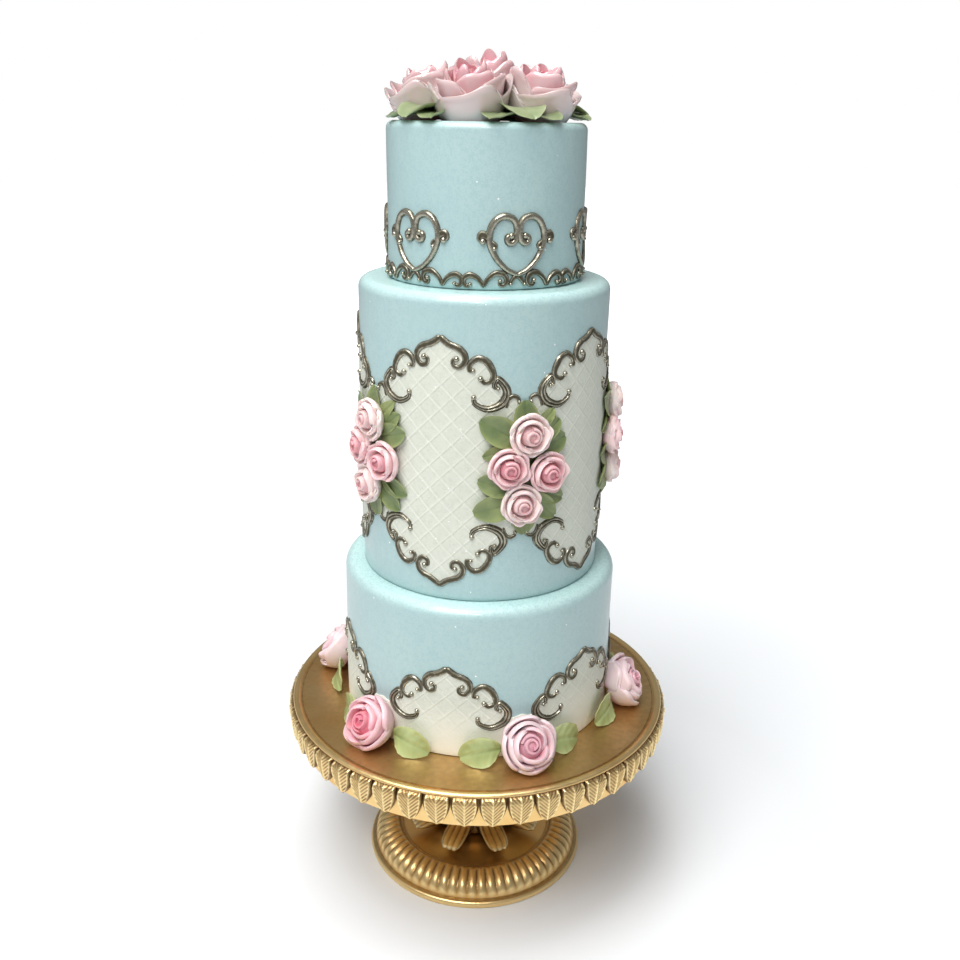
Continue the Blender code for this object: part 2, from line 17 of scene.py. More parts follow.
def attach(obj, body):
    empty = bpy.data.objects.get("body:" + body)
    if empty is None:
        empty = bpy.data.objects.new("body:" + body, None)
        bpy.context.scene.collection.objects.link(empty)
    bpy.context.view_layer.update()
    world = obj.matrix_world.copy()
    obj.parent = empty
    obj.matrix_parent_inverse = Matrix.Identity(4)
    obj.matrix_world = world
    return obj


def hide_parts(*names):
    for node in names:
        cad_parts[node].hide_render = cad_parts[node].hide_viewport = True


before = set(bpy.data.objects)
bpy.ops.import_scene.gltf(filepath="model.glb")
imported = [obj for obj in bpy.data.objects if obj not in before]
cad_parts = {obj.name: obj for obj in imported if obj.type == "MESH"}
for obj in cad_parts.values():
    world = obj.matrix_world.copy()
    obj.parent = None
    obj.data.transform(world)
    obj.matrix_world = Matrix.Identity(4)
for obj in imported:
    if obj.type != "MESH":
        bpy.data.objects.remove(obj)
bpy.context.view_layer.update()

LOG = logging.getLogger("cake")
MM = 0.001
Array = np.ndarray
Colour = tuple[float, float, float, float]
Pair = tuple[float, float]
Triple = tuple[float, float, float]

# Heights, radii and counts that several classes share, the same as the solids'
PLATE_TOP = 98.0
BOTTOM_RADIUS = 67.2
BOTTOM_TOP = 174.2
MIDDLE_RADIUS = 57.7
MIDDLE_TOP = 311.9
TOP_RADIUS = 44.0
TOP_TOP = 378.5
GAP = 0.3
PANELS = 5
ARCHES = 6
HEARTS = 6
TOP_ROSES = 5
MIRROR_Z = 237.85
MIDDLE_PEAK = 293.7
BOTTOM_PEAK = 143.6


def shade(red: float, green: float, blue: float) -> Colour:
    """A screen colour, 0 to 255 each, as the linear colour that a shader takes.

    Args:
        red, green, blue: the colour as a screen shows it.

    Returns:
        The linear colour with an alpha of one.
    """
    screen = np.array([red, green, blue]) / 255.0
    linear = np.where(screen <= 0.04045, screen / 12.92, ((screen + 0.055) / 1.055) ** 2.4)
    return (*linear.tolist(), 1.0)


def smooth_line(points: Array, step: float) -> Array:
    """Even steps along a Catmull-Rom curve through the points.

    Between each two points the curve is a cubic whose slope at a point is half
    the way from the point before to the point after.

    Args:
        points: the points to pass through, one row each.
        step: the wanted distance between the results.

    Returns:
        Points along the curve, one row each.
    """
    points = np.asarray(points, dtype=float)
    ends = np.concatenate([[2 * points[0] - points[1]], points, [2 * points[-1] - points[-2]]])
    share = np.linspace(0, 1, 16, endpoint=False)[None, :, None]
    before, start, end, after = (ends[first:len(ends) - 3 + first, None, :] for first in range(4))
    curve = 0.5 * (2 * start + (end - before) * share
                   + (2 * before - 5 * start + 4 * end - after) * share**2
                   + (3 * start - before - 3 * end + after) * share**3)
    curve = np.concatenate([curve.reshape(-1, points.shape[1]), points[-1:]])
    length = np.concatenate([[0], np.cumsum(np.linalg.norm(np.diff(curve, axis=0), axis=1))])
    wanted = np.linspace(0, length[-1], max(3, int(length[-1] / step)) + 1)
    return np.stack([np.interp(wanted, length, column) for column in curve.T], axis=1)


def unit(vectors: Array) -> Array:
    """The vectors, each made one long."""
    return vectors / np.maximum(np.linalg.norm(vectors, axis=-1, keepdims=True), 1e-9)


def hold(value: Array) -> Array:
    """The value, kept between nought and one."""
    return np.clip(value, 0, 1)


def bell(distance: Array, width: float) -> Array:
    """A bump of height one that fades with the distance in bell shape."""
    return np.exp(-((distance / width) ** 2))


def polar(radius: Array | float, degrees: Array | float, height: Array | float) -> Array:
    """Points from radii, angles round the cake and heights.

    Args:
        radius, degrees, height: numbers or arrays that broadcast together.

    Returns:
        Points, with x, y and z on the last axis.
    """
    radius, angle, height = np.broadcast_arrays(radius, np.radians(degrees), height)
    return np.stack([radius * np.sin(angle), -radius * np.cos(angle), height], axis=-1)


def wrapped(flat: Array, radius: float, turn: float) -> Array:
    """A flat drawing bent round a tier: sideways becomes an arc of the wall's own length.

    Args:
        flat: points with sideways, depth and height on the last axis.
        radius: the wall's radius.
        turn: the angle of the drawing's middle.

    Returns:
        The bent points.
    """
    angle = turn + np.degrees(flat[..., 0] / radius)
    return polar(radius + flat[..., 1], angle, flat[..., 2])


def aimed(points: Array, position: Array, outward: Array, spin: float) -> Array:
    """Points drawn round the Z axis, spun, turned to face outward and moved.

    Args:
        points: the points, facing +Z with their back at the origin.
        position: where the back goes.
        outward: the direction to face.
        spin: degrees to spin about the points' own axis first.

    Returns:
        The placed points.
    """
    facing = Vector(outward).to_track_quat("Z", "Y").to_matrix()
    turn = facing @ Matrix.Rotation(math.radians(spin), 3, "Z")
    return points @ np.array(turn).T + position


def weave(rows: int, columns: int, closed: bool) -> Array:
    """Four-sided faces over a grid of points.

    Args:
        rows, columns: the grid's size.
        closed: whether the last column joins the first.

    Returns:
        Point numbers, four for each face.
    """
    row = np.arange(rows - 1)[:, None] * columns
    column = np.arange(columns if closed else columns - 1)[None, :]
    after = (column + 1) % columns
    corners = [row + column, row + after, row + columns + after, row + columns + column]
    return np.stack(corners, axis=-1).reshape(-1, 4)


def sheet(sideways: Array, depth: Array | float, height: Array) -> Array:
    """A grid of points from its sideways, depth and height."""
    return np.stack(np.broadcast_arrays(sideways, depth, height), axis=-1)


def skin_normals(surface: Array) -> Array:
    """The direction square to a grid of points at each of them."""
    return unit(np.cross(np.gradient(surface, axis=1), np.gradient(surface, axis=0)))


def rim_numbers(rows: int, columns: int) -> Array:
    """The numbers of a grid's edge points, once round."""
    number = np.arange(rows * columns).reshape(rows, columns)
    return np.concatenate([number[0, :-1], number[:-1, -1], number[-1, :0:-1], number[:0:-1, 0]])


@dataclass
class Shell:
    """Closed surfaces gathered into one mesh, with a tone and a tint at each point."""

    points: list[Array] = field(default_factory=list)
    quads: list[Array] = field(default_factory=list)
    caps: list[Array] = field(default_factory=list)
    tones: list[Array] = field(default_factory=list)
    tints: list[Array] = field(default_factory=list)
    count: int = 0

    def add(self, points: Array, quads: Array, caps: list[Array], tone: Array, tint: Array) -> None:
        """Take in one closed surface, turned so that its faces point out.

        The volume under the faces, summed as tetrahedra to the middle, is
        negative where the faces point in, and then every face is reversed.

        Args:
            points: the surface's points in any shape that ends in three.
            quads: its four-sided faces.
            caps: its other faces.
            tone, tint: values that broadcast to the points.
        """
        flat = points.reshape(-1, 3)
        centred = flat - flat.mean(axis=0)
        corners = centred[quads]
        volume = 0.0
        for one, two in ((1, 2), (2, 3)):
            volume += np.sum(corners[:, 0] * np.cross(corners[:, one], corners[:, two]))
        for cap in caps:
            ring = centred[cap]
            volume += np.sum(ring[:1] * np.cross(ring[1:-1], ring[2:]))
        if volume < 0:
            quads = quads[:, ::-1]
            caps = [cap[::-1] for cap in caps]
        self.points.append(flat)
        self.quads.append(quads + self.count)
        self.caps += [cap + self.count for cap in caps]
        shape = points.shape[:-1]
        self.tones.append(np.broadcast_to(tone, shape).ravel())
        self.tints.append(np.broadcast_to(tint, shape).ravel())
        self.count += len(flat)

    def tube(self, rings: Array, tone: Array | float = 0.0, tint: Array | float = 0.0) -> None:
        """A skin over a stack of closed rings, with a cap on each end.

        Args:
            rings: points as ring, place on the ring, and x, y, z.
            tone, tint: values that broadcast to the rings' points.
        """
        rows, columns = rings.shape[:2]
        around = np.arange(columns)
        caps = [around[::-1], (rows - 1) * columns + around]
        self.add(rings, weave(rows, columns, True), caps, tone, tint)

    def slab(self, front: Array, back: Array, tone: Array, tint: Array,
             back_tint: Array | None = None) -> None:
        """A sheet with a front, a back and a rim between them.

        Args:
            front, back: grids of points of one size.
            tone: a value for each point of both sides.
            tint: a value for each point of the front.
            back_tint: the same for the back, if it differs.
        """
        rows, columns = front.shape[:2]
        total = rows * columns
        rim = rim_numbers(rows, columns)
        after = np.roll(rim, -1)
        face = weave(rows, columns, False)
        sides = np.stack([after, rim, total + rim, total + after], axis=1)
        quads = np.concatenate([face, face[:, ::-1] + total, sides])
        shape = (rows, columns)
        behind = tint if back_tint is None else back_tint
        tones = np.broadcast_to(tone, shape)
        tints = np.stack([np.broadcast_to(tint, shape), np.broadcast_to(behind, shape)])
        self.add(np.stack([front, back]), quads, [], np.stack([tones, tones]), tints)

    def panel(self, front: Array, back: Array, tone: Array, tint: Array) -> None:
        """A sheet whose back is one face, for where the back lies out of sight.

        Args:
            front, back: grids of points of one size, the back used only at its rim.
            tone, tint: values that broadcast to the front's points.
        """
        rows, columns = front.shape[:2]
        total = rows * columns
        rim = rim_numbers(rows, columns)
        behind = total + np.arange(len(rim))
        sides = np.stack([np.roll(rim, -1), rim, behind, np.roll(behind, -1)], axis=1)
        points = np.concatenate([front.reshape(-1, 3), back.reshape(-1, 3)[rim]])
        values = [np.broadcast_to(value, (rows, columns)).ravel() for value in (tone, tint)]
        self.add(points, np.concatenate([weave(rows, columns, False), sides]), [behind[::-1]],
                 *(np.concatenate([value, value[rim]]) for value in values))

    def bead(self, centre: Array, radii: Triple) -> None:
        """A small closed ball.

        Args:
            centre: its middle.
            radii: its half sizes along x, y and z.
        """
        rise = np.linspace(-0.49, 0.49, 9)[:, None] * math.pi
        around = np.linspace(0, 2 * math.pi, 14, endpoint=False)[None, :]
        ball = sheet(np.cos(rise) * np.cos(around), np.cos(rise) * np.sin(around), np.sin(rise))
        self.tube(centre + ball * np.array(radii))

    def bend(self, radius: float, turn: float) -> None:
        """Wrap all that is drawn flat so far round a tier's wall.

        The wrap mirrors the drawing, so faces that pointed out point in after it.

        Args:
            radius: the wall's radius.
            turn: the angle of the drawing's middle.
        """
        self.points = [wrapped(points, radius, turn) for points in self.points]

    def piece(self, name: str, material: bpy.types.Material, slot: str,
              nodes: tuple[str, ...] = (), crease: float = 60.0) -> None:
        """Make the mesh object, ride it on the part and hide the solids that it stands for.

        Args:
            name: the object's name.
            material: its finish.
            slot: the record's material slot; not used.
            nodes: the solids that it stands for.
            crease: the angle over which an edge stays sharp.
        """
        points = np.concatenate(self.points) * MM
        quads = np.concatenate(self.quads)
        corners = np.concatenate([quads.ravel(), *self.caps]).astype(np.int32)
        sizes = np.array([4] * len(quads) + [len(cap) for cap in self.caps])
        mesh = bpy.data.meshes.new(name)
        mesh.vertices.add(len(points))
        mesh.vertices.foreach_set("co", points.astype(np.float32).ravel())
        mesh.loops.add(len(corners))
        mesh.loops.foreach_set("vertex_index", corners)
        mesh.polygons.add(len(sizes))
        mesh.polygons.foreach_set("loop_start", (np.cumsum(sizes) - sizes).astype(np.int32))
        mesh.update(calc_edges=True)
        mesh.validate()
        for label, values in (("tone", self.tones), ("tint", self.tints)):
            layer = mesh.attributes.new(label, "FLOAT", "POINT")
            layer.data.foreach_set("value", np.concatenate(values).astype(np.float32))
        mesh.shade_smooth()
        mesh.set_sharp_from_angle(angle=math.radians(crease))
        mesh.materials.append(material)
        thing = bpy.data.objects.new(name, mesh)
        bpy.context.scene.collection.objects.link(thing)
        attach(thing, "root")
        if nodes:
            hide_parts(*nodes)
        LOG.info("%s: %d points", name, len(points))


@dataclass
class Workbench:
    """Adds and joins shader nodes in one tree."""

    tree: bpy.types.NodeTree

    def node(self, kind: str, inputs: dict | None = None, **settings: object) -> bpy.types.Node:
        """Add a node.

        Args:
            kind: the node's type name.
            inputs: values for its sockets, or sockets to join to them.
            settings: its other properties.

        Returns:
            The node.
        """
        made = self.tree.nodes.new(kind)
        for label, value in settings.items():
            setattr(made, label, value)
        self.fill(made, inputs or {})
        return made

    def fill(self, node: bpy.types.Node, values: dict) -> None:
        """Set a node's sockets, or join what is worked out over the surface."""
        for socket, value in values.items():
            if isinstance(value, bpy.types.NodeSocket):
                self.tree.links.new(value, node.inputs[socket])
            else:
                node.inputs[socket].default_value = value

    def spot(self) -> bpy.types.NodeSocket:
        """The place on the object in metres."""
        return self.node("ShaderNodeTexCoord").outputs["Object"]

    def noise(self, scale: object, detail: float = 2.0) -> bpy.types.NodeSocket:
        """Soft noise of a number of patches to the metre."""
        sockets = {"Vector": self.spot(), "Scale": scale, "Detail": detail}
        return self.node("ShaderNodeTexNoise", sockets).outputs["Fac"]

    def math(self, operation: str, one: object, two: object) -> bpy.types.NodeSocket:
        """One sum, product or comparison."""
        return self.node("ShaderNodeMath", {0: one, 1: two}, operation=operation).outputs[0]

    def span(self, value: object, source: Pair, target: Pair = (0.0, 1.0)) -> bpy.types.NodeSocket:
        """A value carried from one range to another and held there."""
        limits = {"Value": value, "From Min": source[0], "From Max": source[1],
                  "To Min": target[0], "To Max": target[1]}
        return self.node("ShaderNodeMapRange", limits).outputs[0]

    def share(self, value: object, low: float, high: float) -> bpy.types.NodeSocket:
        """A value from 0 to 1 carried to another range."""
        return self.span(value, (0.0, 1.0), (low, high))

    def mix(self, factor: object, one: object, two: object) -> bpy.types.NodeSocket:
        """A blend of two colours."""
        colours = {0: factor, 6: one, 7: two}
        return self.node("ShaderNodeMix", colours, data_type="RGBA").outputs[2]

    def attribute(self, name: str) -> bpy.types.NodeSocket:
        """A value that the mesh carries at its points."""
        return self.node("ShaderNodeAttribute", attribute_name=name).outputs["Fac"]

    def effect(self, name: str, **inputs: object) -> bpy.types.NodeSocket:
        """What one of the shared effects gives for these values."""
        group = self.node("ShaderNodeGroup", node_tree=bpy.data.node_groups[name])
        self.fill(group, {label.capitalize(): value for label, value in inputs.items()})
        return group.outputs[0]

    def bump(self, height: object, strength: float, distance: float) -> bpy.types.NodeSocket:
        """A normal that follows a height map; the distance is in millimetres."""
        sockets = {"Height": height, "Strength": strength, "Distance": distance * MM}
        return self.node("ShaderNodeBump", sockets).outputs[0]


def start_effect(name: str, inputs: dict[str, float], outputs: tuple[str, ...]) -> tuple:
    """Begin a shared effect with named inputs and outputs.

    Args:
        name: the group's name.
        inputs: its input sockets with their usual values.
        outputs: its output sockets.

    Returns:
        The workbench, the input node and the output node.
    """
    tree = bpy.data.node_groups.new(name, "ShaderNodeTree")
    for label, value in inputs.items():
        socket = tree.interface.new_socket(label, in_out="INPUT", socket_type="NodeSocketFloat")
        socket.default_value = value
    for label in outputs:
        tree.interface.new_socket(label, in_out="OUTPUT", socket_type="NodeSocketFloat")
    bench = Workbench(tree)
    return bench, bench.node("NodeGroupInput"), bench.node("NodeGroupOutput")


def make_effects() -> None:
    """Build the effects that several finishes share: grain, glitter and mottle."""
    bench, given, made = start_effect("grain", {"Scale": 1500.0, "Coarse": 0.4}, ("Height",))
    scale, coarse = given.outputs["Scale"], given.outputs["Coarse"]
    fine = bench.noise(scale, 2.0)
    broad = bench.noise(bench.math("MULTIPLY", scale, 0.28), 3.0)
    step = bench.math("SUBTRACT", broad, fine)
    height = bench.math("ADD", fine, bench.math("MULTIPLY", step, coarse))
    bench.tree.links.new(height, made.inputs["Height"])

    bench, given, made = start_effect(
        "glitter", {"Scale": 260.0, "Share": 0.2, "Size": 0.09}, ("Mask",))
    cells = bench.node("ShaderNodeTexVoronoi", {
        "Vector": bench.spot(), "Scale": given.outputs["Scale"]})
    near = bench.math("LESS_THAN", cells.outputs["Distance"], given.outputs["Size"])
    channel = bench.node("ShaderNodeSeparateColor", {0: cells.outputs["Color"]}).outputs[0]
    chosen = bench.math("LESS_THAN", channel, given.outputs["Share"])
    bench.tree.links.new(bench.math("MULTIPLY", near, chosen), made.inputs["Mask"])

    bench, given, made = start_effect("mottle", {"Scale": 60.0, "Contrast": 1.0}, ("Mask",))
    patches = bench.span(bench.noise(given.outputs["Scale"], 4.0), (0.36, 0.64))
    centred = bench.math("SUBTRACT", patches, 0.5)
    scaled = bench.math("MULTIPLY", centred, given.outputs["Contrast"])
    bench.tree.links.new(bench.span(scaled, (-0.5, 0.5)), made.inputs["Mask"])


def new_finish(name: str) -> tuple[bpy.types.Material, Workbench, bpy.types.Node]:
    """A material, the workbench for its nodes and its main shader."""
    material = bpy.data.materials.new(name)
    material.use_nodes = True
    bench = Workbench(material.node_tree)
    return material, bench, material.node_tree.nodes["Principled BSDF"]


@dataclass(frozen=True)
class IcingFinish:
    """Pale blue icing with a fine sandy grain, a soft gloss, a few glints of glitter and a painted
    highlight on the rounded top edge and the top face.
    """

    name: str = "icing"
    wall: Colour = shade(177, 204, 204)
    # Painted highlight: the lighter blue of the top face and rounded edge, where light from above
    # falls
    painted_top_light: Colour = shade(202, 236, 234)
    deep: Colour = shade(150, 184, 190)
    glint: Colour = shade(250, 252, 252)

    def make(self) -> bpy.types.Material:
        """Build the material."""
        material, bench, shader = new_finish(self.name)
        mottle = bench.effect("mottle", scale=34.0, contrast=0.8)
        grain = bench.effect("grain", scale=1500.0, coarse=0.35)
        glints = bench.effect("glitter", scale=230.0, share=0.07, size=0.085)
        body = bench.mix(bench.share(mottle, 0.0, 0.22), self.wall, self.deep)
        # The tone lays the painted top highlight over the rounded edge and the top face
        body = bench.mix(bench.attribute("tone"), body, self.painted_top_light)
        speckle = bench.span(grain, (0.46, 0.6), (0.0, 0.42))
        body = bench.mix(speckle, body, self.deep)
        bench.fill(shader, {
            "Base Color": bench.mix(glints, body, self.glint),
            "Roughness": bench.share(glints, 0.42, 0.12),
            "Coat Weight": 0.5,
            "Coat Roughness": 0.1,
            "Normal": bench.bump(grain, 0.35, 0.25),
        })
        return material


@dataclass(frozen=True)
class FieldFinish:
    """White canvas-like icing with a lattice whose raised lines carry a painted highlight and whose
    dips carry a painted shade; near the plate it turns creamy, partly its own colour and partly
    painted warm light from the gold plate.
    """

    name: str = "lattice_field"
    white: Colour = shade(217, 221, 209)
    groove: Colour = shade(192, 197, 183)
    cream_and_plate_bounce: Colour = shade(255, 255, 244)
    thread: Colour = shade(244, 245, 234)
    glint: Colour = shade(255, 255, 252)
    # Metres up: white above the first, and cream with painted warm light from the plate below the
    # second
    plate_bounce_heights: Pair = (0.126, 0.102)

    def make(self) -> bpy.types.Material:
        """Build the material."""
        material, bench, shader = new_finish(self.name)
        grain = bench.effect("grain", scale=1900.0, coarse=0.55)
        mottle = bench.effect("mottle", scale=48.0, contrast=0.7)
        glints = bench.effect("glitter", scale=420.0, share=0.16, size=0.12)
        height = bench.node("ShaderNodeSeparateXYZ", {0: bench.spot()}).outputs[2]
        low = bench.span(height, self.plate_bounce_heights)
        body = bench.mix(bench.share(mottle, 0.0, 0.18), self.white, self.groove)
        # Painted shade: the tone darkens the dip beside each raised lattice line
        body = bench.mix(bench.span(bench.attribute("tone"), (0.15, 1.0), (0.0, 0.5)),
                         body, self.groove)
        body = bench.mix(bench.span(grain, (0.48, 0.64), (0.0, 0.4)), body, self.groove)
        # Cream near the plate: partly the icing's colour and partly painted warm light thrown up by
        # the gold plate
        body = bench.mix(low, body, self.cream_and_plate_bounce)
        # Painted highlight: the tint lightens the raised lattice lines
        body = bench.mix(bench.span(bench.attribute("tint"), (0.2, 1.0), (0.0, 0.6)),
                         body, self.thread)
        bench.fill(shader, {
            "Base Color": bench.mix(glints, body, self.glint),
            "Roughness": bench.share(glints, 0.62, 0.15),
            "Normal": bench.bump(grain, 0.6, 0.35),
        })
        return material


@dataclass(frozen=True)
class SilverFinish:
    """Champagne silver paint, bright on the crowns and dark olive brown where the tone is high:
    partly antique paint in the channels, and partly painted shade in the channels, on the sloping
    sides and underneath.
    """

    name: str = "scroll_silver"
    bright: Colour = shade(172, 168, 152)
    dark: Colour = shade(78, 73, 56)

    def make(self) -> bpy.types.Material:
        """Build the material."""
        material, bench, shader = new_finish(self.name)
        mottle = bench.effect("mottle", scale=420.0, contrast=1.0)
        # The tone is antique paint together with painted shade; the mottle shifts it at random
        wear_and_shading = bench.math("ADD", bench.attribute("tone"), bench.share(mottle, -0.18, 0.3))
        fold = bench.span(wear_and_shading, (0.12, 0.8))
        bench.fill(shader, {
            "Base Color": bench.mix(fold, self.bright, self.dark),
            "Metallic": bench.share(fold, 0.92, 0.45),
            "Roughness": bench.share(fold, 0.24, 0.5),
            "Normal": bench.bump(mottle, 0.3, 0.2),
        })
        return material


class Glaze(Enum):
    """How a flower is glazed: roughness, coat weight and coat roughness."""

    GLASSY = (0.2, 0.8, 0.06)
    PEARLY = (0.42, 0.3, 0.25)
    MATT = (0.5, 0.12, 0.4)


@dataclass(frozen=True)
class PetalFinish:
    """A tinted petal: pale outside and pink towards the heart, with painted shade in its folds."""

    name: str
    pale: Colour
    blush: Colour
    heart: Colour
    glaze: Glaze

    def make(self) -> bpy.types.Material:
        """Build the material."""
        material, bench, shader = new_finish(self.name)
        roughness, coat, coat_roughness = self.glaze.value
        mottle = bench.effect("mottle", scale=130.0, contrast=0.8)
        tint = bench.attribute("tint")
        soft = bench.math("ADD", tint, bench.share(mottle, -0.08, 0.08))
        body = bench.mix(bench.span(soft, (0.05, 0.6)), self.pale, self.blush)
        body = bench.mix(bench.span(soft, (0.6, 1.1)), body, self.heart)
        # Painted shade: the tone darkens the petal feet, the bud's foot and the body between the
        # petals towards the heart colour
        fold = bench.span(bench.attribute("tone"), (0.2, 1.0), (0.0, 0.75))
        grain = bench.effect("grain", scale=1100.0, coarse=0.6)
        bench.fill(shader, {
            "Base Color": bench.mix(fold, body, self.heart),
            "Roughness": bench.share(mottle, roughness * 0.85, roughness * 1.15),
            "Coat Weight": coat,
            "Coat Roughness": coat_roughness,
            "Subsurface Weight": 0.12,
            "Subsurface Scale": 0.004,
            "Normal": bench.bump(grain, 0.18, 0.18),
        })
        return material


@dataclass(frozen=True)
class LeafFinish:
    """Sage green leaf paint with darker veins, yellower patches, yellower edges that also carry a
    painted highlight, and painted shade towards the leaf's base.
    """

    name: str
    green: Colour
    yellow: Colour
    vein: Colour
    gloss: float

    def make(self) -> bpy.types.Material:
        """Build the material."""
        material, bench, shader = new_finish(self.name)
        mottle = bench.effect("mottle", scale=110.0, contrast=1.0)
        # The tint yellows the patches and the edges, the edges partly as a painted highlight
        warm = bench.math("ADD", bench.share(mottle, 0.0, 0.5), bench.attribute("tint"))
        body = bench.mix(bench.span(warm, (0.0, 1.0)), self.green, self.yellow)
        # The tone darkens the veins and lays painted shade towards the leaf's base
        body = bench.mix(bench.span(bench.attribute("tone"), (0.1, 1.0), (0.0, 0.6)),
                         body, self.vein)
        grain = bench.effect("grain", scale=1300.0, coarse=0.5)
        bench.fill(shader, {
            "Base Color": body,
            "Roughness": bench.share(mottle, 0.36, 0.5),
            "Coat Weight": self.gloss,
            "Coat Roughness": 0.12,
            "Normal": bench.bump(grain, 0.25, 0.2),
        })
        return material


@dataclass(frozen=True)
class GoldFinish:
    """Antique gold paint: satin on the lands; the tint brightens it, partly rubbed wear and partly
    painted highlight, and the tone browns it, partly antique paint in the hollows and partly
    painted shade.
    """

    name: str = "antique_gold"
    gold: Colour = shade(234, 188, 116)
    wear_and_shading: Colour = shade(255, 234, 178)
    brown_and_shade: Colour = shade(92, 60, 32)

    def make(self) -> bpy.types.Material:
        """Build the material."""
        material, bench, shader = new_finish(self.name)
        patches = bench.effect("mottle", scale=38.0, contrast=0.8)
        brushed = bench.effect("mottle", scale=360.0, contrast=0.7)
        body = bench.mix(bench.share(patches, 0.0, 0.4), self.gold, self.wear_and_shading)
        # The tint brightens towards the lighter gold: partly rubbed wear and partly painted
        # highlight
        body = bench.mix(bench.attribute("tint"), body, self.wear_and_shading)
        # The tone browns it: partly antique paint in the hollows and partly painted shade
        fold = bench.math("MULTIPLY", bench.attribute("tone"),
                          bench.share(brushed, 0.7, 1.0))
        grain = bench.effect("grain", scale=1700.0, coarse=0.3)
        bench.fill(shader, {
            "Base Color": bench.mix(fold, body, self.brown_and_shade),
            "Metallic": bench.share(fold, 1.0, 0.7),
            "Roughness": bench.share(brushed, 0.3, 0.42),
            "Normal": bench.bump(grain, 0.2, 0.15),
        })
        return material


@dataclass(frozen=True)
class FloorFinish:
    """A plain pale floor that stays near white and takes a soft shadow."""

    name: str = "floor_white"
    white: Colour = (0.83, 0.86, 0.89, 1.0)
    near_glow: float = 0.02
    far_glow: float = 1.0

    def make(self) -> bpy.types.Material:
        """Build the material, which looks whiter the farther it is from the cake.

        The glow is only seen, and lights nothing, so the cake's walls keep
        their shading.
        """
        material, bench, shader = new_finish(self.name)
        apart = bench.node("ShaderNodeVectorMath", {0: bench.spot()}, operation="LENGTH").outputs[1]
        glow = bench.span(apart, (0.2, 1.3), (self.near_glow, self.far_glow))
        seen = bench.node("ShaderNodeLightPath").outputs["Is Camera Ray"]
        glow = bench.math("MULTIPLY", glow, seen)
        bench.fill(shader, {
            "Base Color": self.white, "Roughness": 0.8, "Specular IOR Level": 0.1,
            "Emission Color": (1.0, 1.0, 1.0, 1.0), "Emission Strength": glow,
        })
        return material


@dataclass
class Palette:
    """Every finish on the cake, made once."""

    made: dict[str, bpy.types.Material] = field(default_factory=dict)

    def prepare(self) -> None:
        """Build the shared effects and then the materials."""
        make_effects()
        leaf_colours = (shade(87, 108, 67), shade(142, 154, 100), shade(56, 76, 44))
        finishes = (
            IcingFinish(), FieldFinish(), SilverFinish(), GoldFinish(),
            PetalFinish("petal_glassy", shade(214, 198, 196), shade(230, 178, 186),
                        shade(234, 140, 156), Glaze.GLASSY),
            PetalFinish("petal_pale", shade(246, 228, 225), shade(240, 208, 207),
                        shade(210, 156, 161), Glaze.MATT),
            PetalFinish("petal_deep", shade(246, 216, 217), shade(238, 182, 188),
                        shade(198, 124, 136), Glaze.MATT),
            PetalFinish("petal_pearl", shade(236, 214, 217), shade(229, 184, 193),
                        shade(204, 140, 156), Glaze.PEARLY),
            PetalFinish("petal_pearl_deep", shade(238, 200, 206), shade(231, 153, 165),
                        shade(214, 106, 129), Glaze.PEARLY),
            LeafFinish("leaf_middle", *leaf_colours, 0.15),
            LeafFinish("leaf_bottom", shade(156, 174, 112), shade(192, 204, 142),
                       shade(112, 136, 78), 0.8),
            LeafFinish("leaf_top", shade(126, 144, 101), shade(154, 166, 123),
                       shade(90, 107, 69), 0.45),
        )
        for finish in finishes:
            self.made[finish.name] = finish.make()

    def __getitem__(self, name: str) -> bpy.types.Material:
        """The material of that name."""
        return self.made[name]


